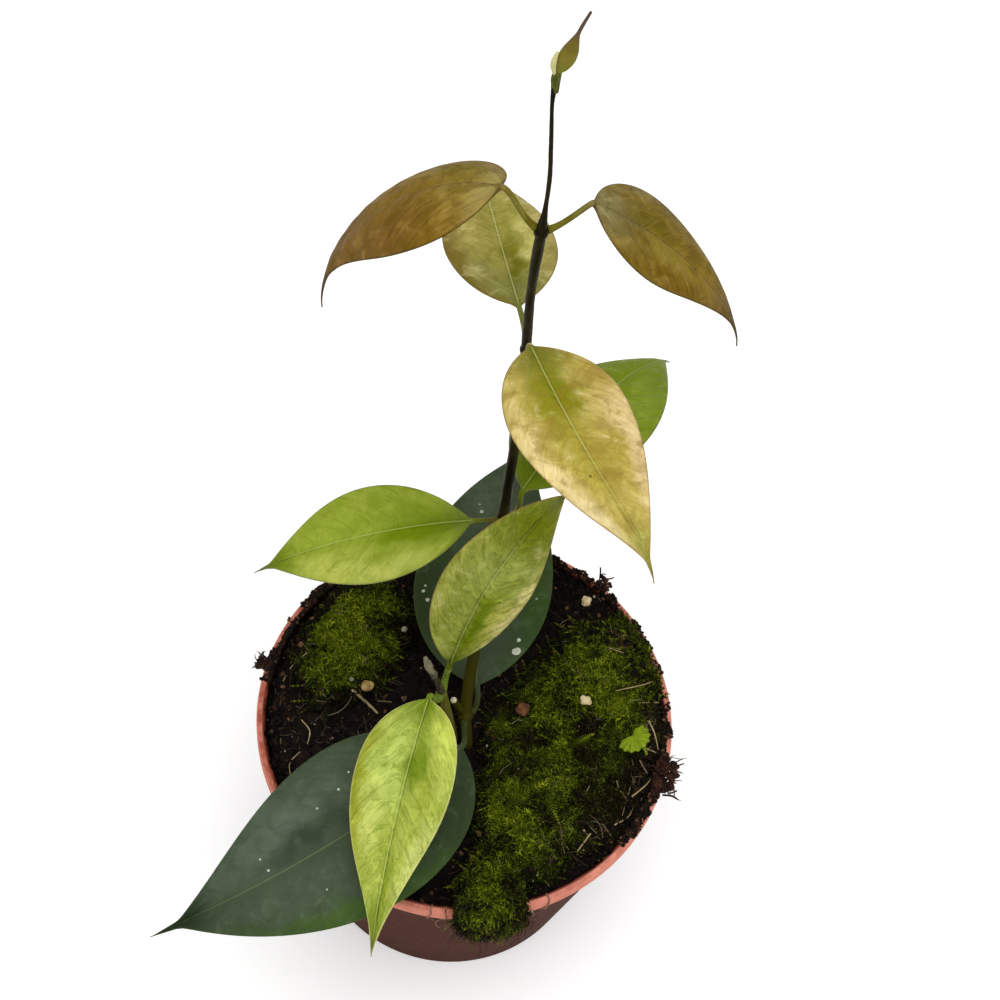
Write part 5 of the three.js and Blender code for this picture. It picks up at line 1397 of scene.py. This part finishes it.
# Small things: bud pair, seedling, grit, husk, bark, lumps of peat on the lip
buds = {
    "large": [(0.9, 41, 323.5, .6, .6), (1.5, 41, 325.3, 1.45, 1), (2.1, 41, 327.8, 1.95, 1.3),
              (2.7, 41, 330.5, 1.75, 1.2), (3.2, 41, 333, 1.1, .8), (3.7, 41, 335.4, .5, .5),
              (4.4, 41, 338.2, .4, .4), (5.6, 41, 342.2, .3, .3)],
    "small": [(0.1, 40.6, 323.1, .4, .35), (-0.4, 40.2, 325.8, .6, .35), (-0.3, 40.2, 328, .6, .35),
              (0.1, 40.3, 330, .3, .3)],
}


def makeBudMaterial():
    material, add = newMaterial("downyBudLeaf")
    place = add("TexCoord", out="Object")
    rise = add("SeparateXYZ", {0: place}, out=2)
    drift = add("TexNoise", {"Vector": place, "Scale": 500, "Detail": 3})
    mixed = add("Math", {0: drift, 1: 0.004, 2: rise}, operation="MULTIPLY_ADD")
    share = add("MapRange", {0: mixed, 1: 0.3255, 2: 0.344})
    colour = add("ValToRGB", {0: share}, stops=[(0.0, "#6f7422"), (0.3, "#786d1f"), (0.5, "#66581c"),
                                                (0.7, "#5e4836"), (1.0, "#4e3c32")])
    bump = add("Bump", {"Strength": 0.4, "Distance": 0.0002, "Height": drift})
    return finishMaterial(material, {
        "Base Color": colour, "Roughness": 0.5, "Normal": bump, "Specular IOR Level": 0.1})


finishPiece("budLarge", rod(buds["large"], 60, 24), makeBudMaterial(), ["bud_leaf_large"])
finishPiece("budSmall", rod(buds["small"], 20, 14),
            makePlain("paleBudLeaf", 600, [(0.3, "#b3b070"), (0.7, "#d3cb94")], 0.5),
            ["bud_leaf_small"])

gritStone = makePlain("paleGrit", 700, [(0.3, "#b59c70"), (0.55, "#dcc99b"), (0.8, "#efe3c4")], 0.85)
huskSkin = makePlain("drySeedHusk", 500, [(0.3, "#7d6236"), (0.6, "#b8995f"), (0.8, "#d2ba86")], 0.7)
barkBit = makePlain("brokenBark", 450, [(0.3, "#3b2113"), (0.6, "#744a2c"), (0.8, "#9a6c44")], 0.85)


def makeStone(name, node, material, roughness, seed):  # a broken lump that fills the node's box
    low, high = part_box(node)
    bm = ball(4)
    for vert in bm.verts:
        shift = noise.noise(vert.co * 1.1 + Vector((seed, 0, 0))) + 0.4 * noise.noise(vert.co * 3)
        flat = max(abs(c) for c in vert.co)
        vert.co *= (1 + roughness * shift) * (0.75 + 0.25 / flat)
    size = Vector((max(v.co[i] for v in bm.verts) - min(v.co[i] for v in bm.verts) for i in range(3)))
    middle = Vector((max(v.co[i] for v in bm.verts) + min(v.co[i] for v in bm.verts) for i in range(3))) / 2
    for vert in bm.verts:
        vert.co = Vector((low[i] + high[i]) / 2 + (vert.co[i] - middle[i]) * (high[i] - low[i]) / size[i]
                         for i in range(3))
    return finishPiece(name, bm, material, [node])


makeStone("gritRight", "chip_right", gritStone, 0.35, 1)
makeStone("gritLeft", "chip_left", gritStone, 0.35, 2)
makeStone("gritInMoss", "chip_moss", gritStone, 0.3, 3)
makeStone("seedHusk", "husk", huskSkin, 0.2, 4)
makeStone("barkBit", "bark_chip", barkBit, 0.4, 5)

crumbs = {
    "crumb_left": {"angle": 173, "reach": 60.5, "size": (5, 5, 2.6), "prongs": 14, "grains": 40,
                   "seed": 21},
    "crumb_right": {"angle": -11, "reach": 59.5, "size": (8, 13, 4), "prongs": 46, "grains": 130,
                    "seed": 22},
    "crumb_back": {"angle": 54, "reach": 60, "size": (5, 5, 2.4), "prongs": 12, "grains": 36,
                   "seed": 23},
}


def makeCrumb(name, crumb):  # a tangle of peat and root ends that reaches past the lip
    rand = random.Random(crumb["seed"])
    low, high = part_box(name)
    long, wide, tall = crumb["size"]
    turn = Matrix.Rotation(math.radians(crumb["angle"]), 4, "Z")
    floor = pot["height"] + 0.3
    parts = []
    for i in range(crumb["grains"]):
        bm = ball(2 if i < 12 else 1)
        size = tall * (0.24 + 0.1 * rand.random()) if i < 12 else 0.3 + 0.5 * rand.random() ** 2
        place = Vector((crumb["reach"] + long * 0.36 * rand.uniform(-1, 1),
                        wide * 0.4 * rand.uniform(-1, 1), 0))
        hump = 1 - (place.y / (wide * 0.5)) ** 2
        place.z = floor + size * 0.6 + max(0, tall * hump - 1.8 * size) * (rand.random() if i > 12 else 0.3)
        squash = Vector((rand.uniform(0.8, 1.3), rand.uniform(0.8, 1.3), rand.uniform(0.6, 1)))
        for vert in bm.verts:
            vert.co *= size * (1 + 0.6 * noise.noise(vert.co * 2 + Vector((i, crumb["seed"], 0))))
            vert.co = vert.co * squash + place
            vert.co.z = max(vert.co.z, floor)
            vert.co *= mm
        bmesh.ops.transform(bm, matrix=turn, verts=bm.verts)
        parts.append(bm)
    for i in range(crumb["prongs"]):
        start = np.array([crumb["reach"] + rand.uniform(-0.35, 0.3) * long, rand.uniform(-0.4, 0.4) * wide,
                          floor + rand.uniform(0.1, 0.9) * tall, rand.uniform(0.12, 0.3)])
        way = np.array([rand.gauss(0.4, 0.6), rand.gauss(0, 0.8), rand.gauss(0.05, 0.3), 0])
        reach = 1.5 + 3.5 * rand.random()
        bend = np.array([rand.uniform(-0.5, 0.5), rand.uniform(-0.8, 0.8), rand.uniform(-0.4, 0.4), 0])
        tip = start + way * reach - np.array([0, 0, 0, 0.08])
        root = rod([start, start + way * reach * 0.5 + bend, tip], 10, 5, 0.3, level=(0.1, 0.2, 1), seed=i)
        bmesh.ops.transform(root, matrix=turn, verts=root.verts)
        parts.append(root)
    whole = joined(parts)
    for vert in whole.verts:  # nothing reaches past the solid's own box
        vert.co = Vector(min(max(vert.co[i], low[i]), high[i]) for i in range(3))
    finishPiece(name.replace("crumb_", "peatLump_"), whole, crumbPeat, [name])


crumbPeat = makePlain("rootyPeat", 380, [(0.3, "#0d0604"), (0.5, "#2a140d"), (0.65, "#4f2b1e"),
                                         (0.85, "#8d6350")], 0.85)
for crumbName, crumbValues in crumbs.items():
    makeCrumb(crumbName, crumbValues)

seedling = {"root": (53, -5), "leaf": (48.5, -1.5), "rise": 4.5, "radius": 3.9, "lobes": 14, "rings": 14,
            "stalk": 0.45}


def makeSeedling():
    root, leaf, radius, rings = (seedling[key] for key in ("root", "leaf", "radius", "rings"))
    ground = mossTop(*root, 0.9, 5) + 0.5
    notch = math.atan2(root[1] - leaf[1], root[0] - leaf[0])
    height = ground + seedling["rise"]
    turn = Matrix.Translation((leaf[0], leaf[1], height)) @ Matrix.Rotation(notch + math.pi, 4, "Z") \
        @ Matrix.Rotation(0.2, 4, "Y")

    def placeAt(row, way):
        angle = 2 * math.pi * way
        cut = 0.8 * math.exp(-((angle - math.pi) / 0.95) ** 4)  # the notch at the stalk
        share = row / rings if row <= rings else (2 * rings - row) / rings
        lobe = math.cos(angle * seedling["lobes"])
        scallop = 0.05 * lobe * share ** 2
        r = 1.12 * radius * (1 - cut + scallop) * share
        vein = lobe * share * (1 - share)
        face = (1 if row <= rings else -1) * 0.3 * (1 - share ** 6)
        dome = -0.9 * share ** 2 + 0.5 * vein + 0.5
        point = turn @ Vector((-r * math.cos(angle), 1.15 * r * math.sin(angle), face + dome))
        return point, (share, 0.5 + 0.5 * lobe, 0)

    bm = rollGrid(2 * rings + 1, 108, placeAt, [("blade", "float_vector")])
    join = (*polar(0.15 * radius, notch, *leaf), height)
    middle = (root[0] - 0.5, root[1] + 0.5, ground + 0.6 * seedling["rise"])
    stalk = seedling["stalk"]
    stem = rod([(*root, ground - 1.5, stalk), (*middle, stalk - 0.05), (*join, stalk - 0.1)], 16, 10)
    material, add = newMaterial("freshWeedLeaf")
    blade = add("Attribute", out=1, attribute_name="blade")
    ray = add("SeparateXYZ", {0: blade}, out=1)
    place = add("TexCoord", out="Object")
    drift = add("TexNoise", {"Vector": place, "Scale": 600, "Detail": 3})
    vein = add("MapRange", {0: ray, 1: 0.85, 2: 1.0, 4: 0.5})
    base = add("ValToRGB", {0: drift}, stops=[(0.3, "#5f7406"), (0.7, "#7f9410")])
    colour = add("Mix", {0: vein, 6: base, 7: "#a0ae40"})
    finishMaterial(material, {
        "Base Color": colour, "Roughness": 0.5, "Specular IOR Level": 0.1, "Subsurface Weight": 0.1,
        "Subsurface Radius": (0.4, 0.8, 0.2), "Subsurface Scale": 0.001})
    finishPiece("weedSeedling", joined([bm, stem]), material, ["seedling"])


makeSeedling()
print("small things made")


# Floor and light: plain white paper, one wide soft light overhead and behind, and an even sky
light = {"floor": 20, "sky": 0.55, "size": 1.2, "place": (0.02, -0.22, 1.15), "power": 9.5}


def makeStudio():
    bm = bmesh.new()
    bmesh.ops.create_circle(bm, cap_ends=True, segments=64, radius=light["floor"])
    mesh = bpy.data.meshes.new("floor")
    bm.to_mesh(mesh)
    bm.free()
    floor = bpy.data.objects.new("floor", mesh)
    bpy.context.collection.objects.link(floor)
    material, add = newMaterial("mattPaper")
    finishMaterial(material, {
        "Base Color": "#f8f8f8", "Roughness": 0.95, "Specular IOR Level": 0.1, "Emission Color": "#ffffff",
        "Emission Strength": 0.26})
    mesh.materials.append(material)
    world = bpy.data.worlds.new("studio")
    world.use_nodes = True
    sky = world.node_tree.nodes["Background"]
    sky.inputs[0].default_value = (1, 1, 1, 1)
    sky.inputs[1].default_value = light["sky"]
    bpy.context.scene.world = world
    data = bpy.data.lights.new("softbox", "AREA")
    data.shape, data.size, data.energy = "DISK", light["size"], light["power"]
    lamp = bpy.data.objects.new("softbox", data)
    bpy.context.collection.objects.link(lamp)
    lamp.location = light["place"]
    aim = Vector((0, 0, 0.15)) - Vector(light["place"])
    lamp.rotation_euler = aim.to_track_quat("-Z", "Y").to_euler()


makeStudio()
print("studio lit")
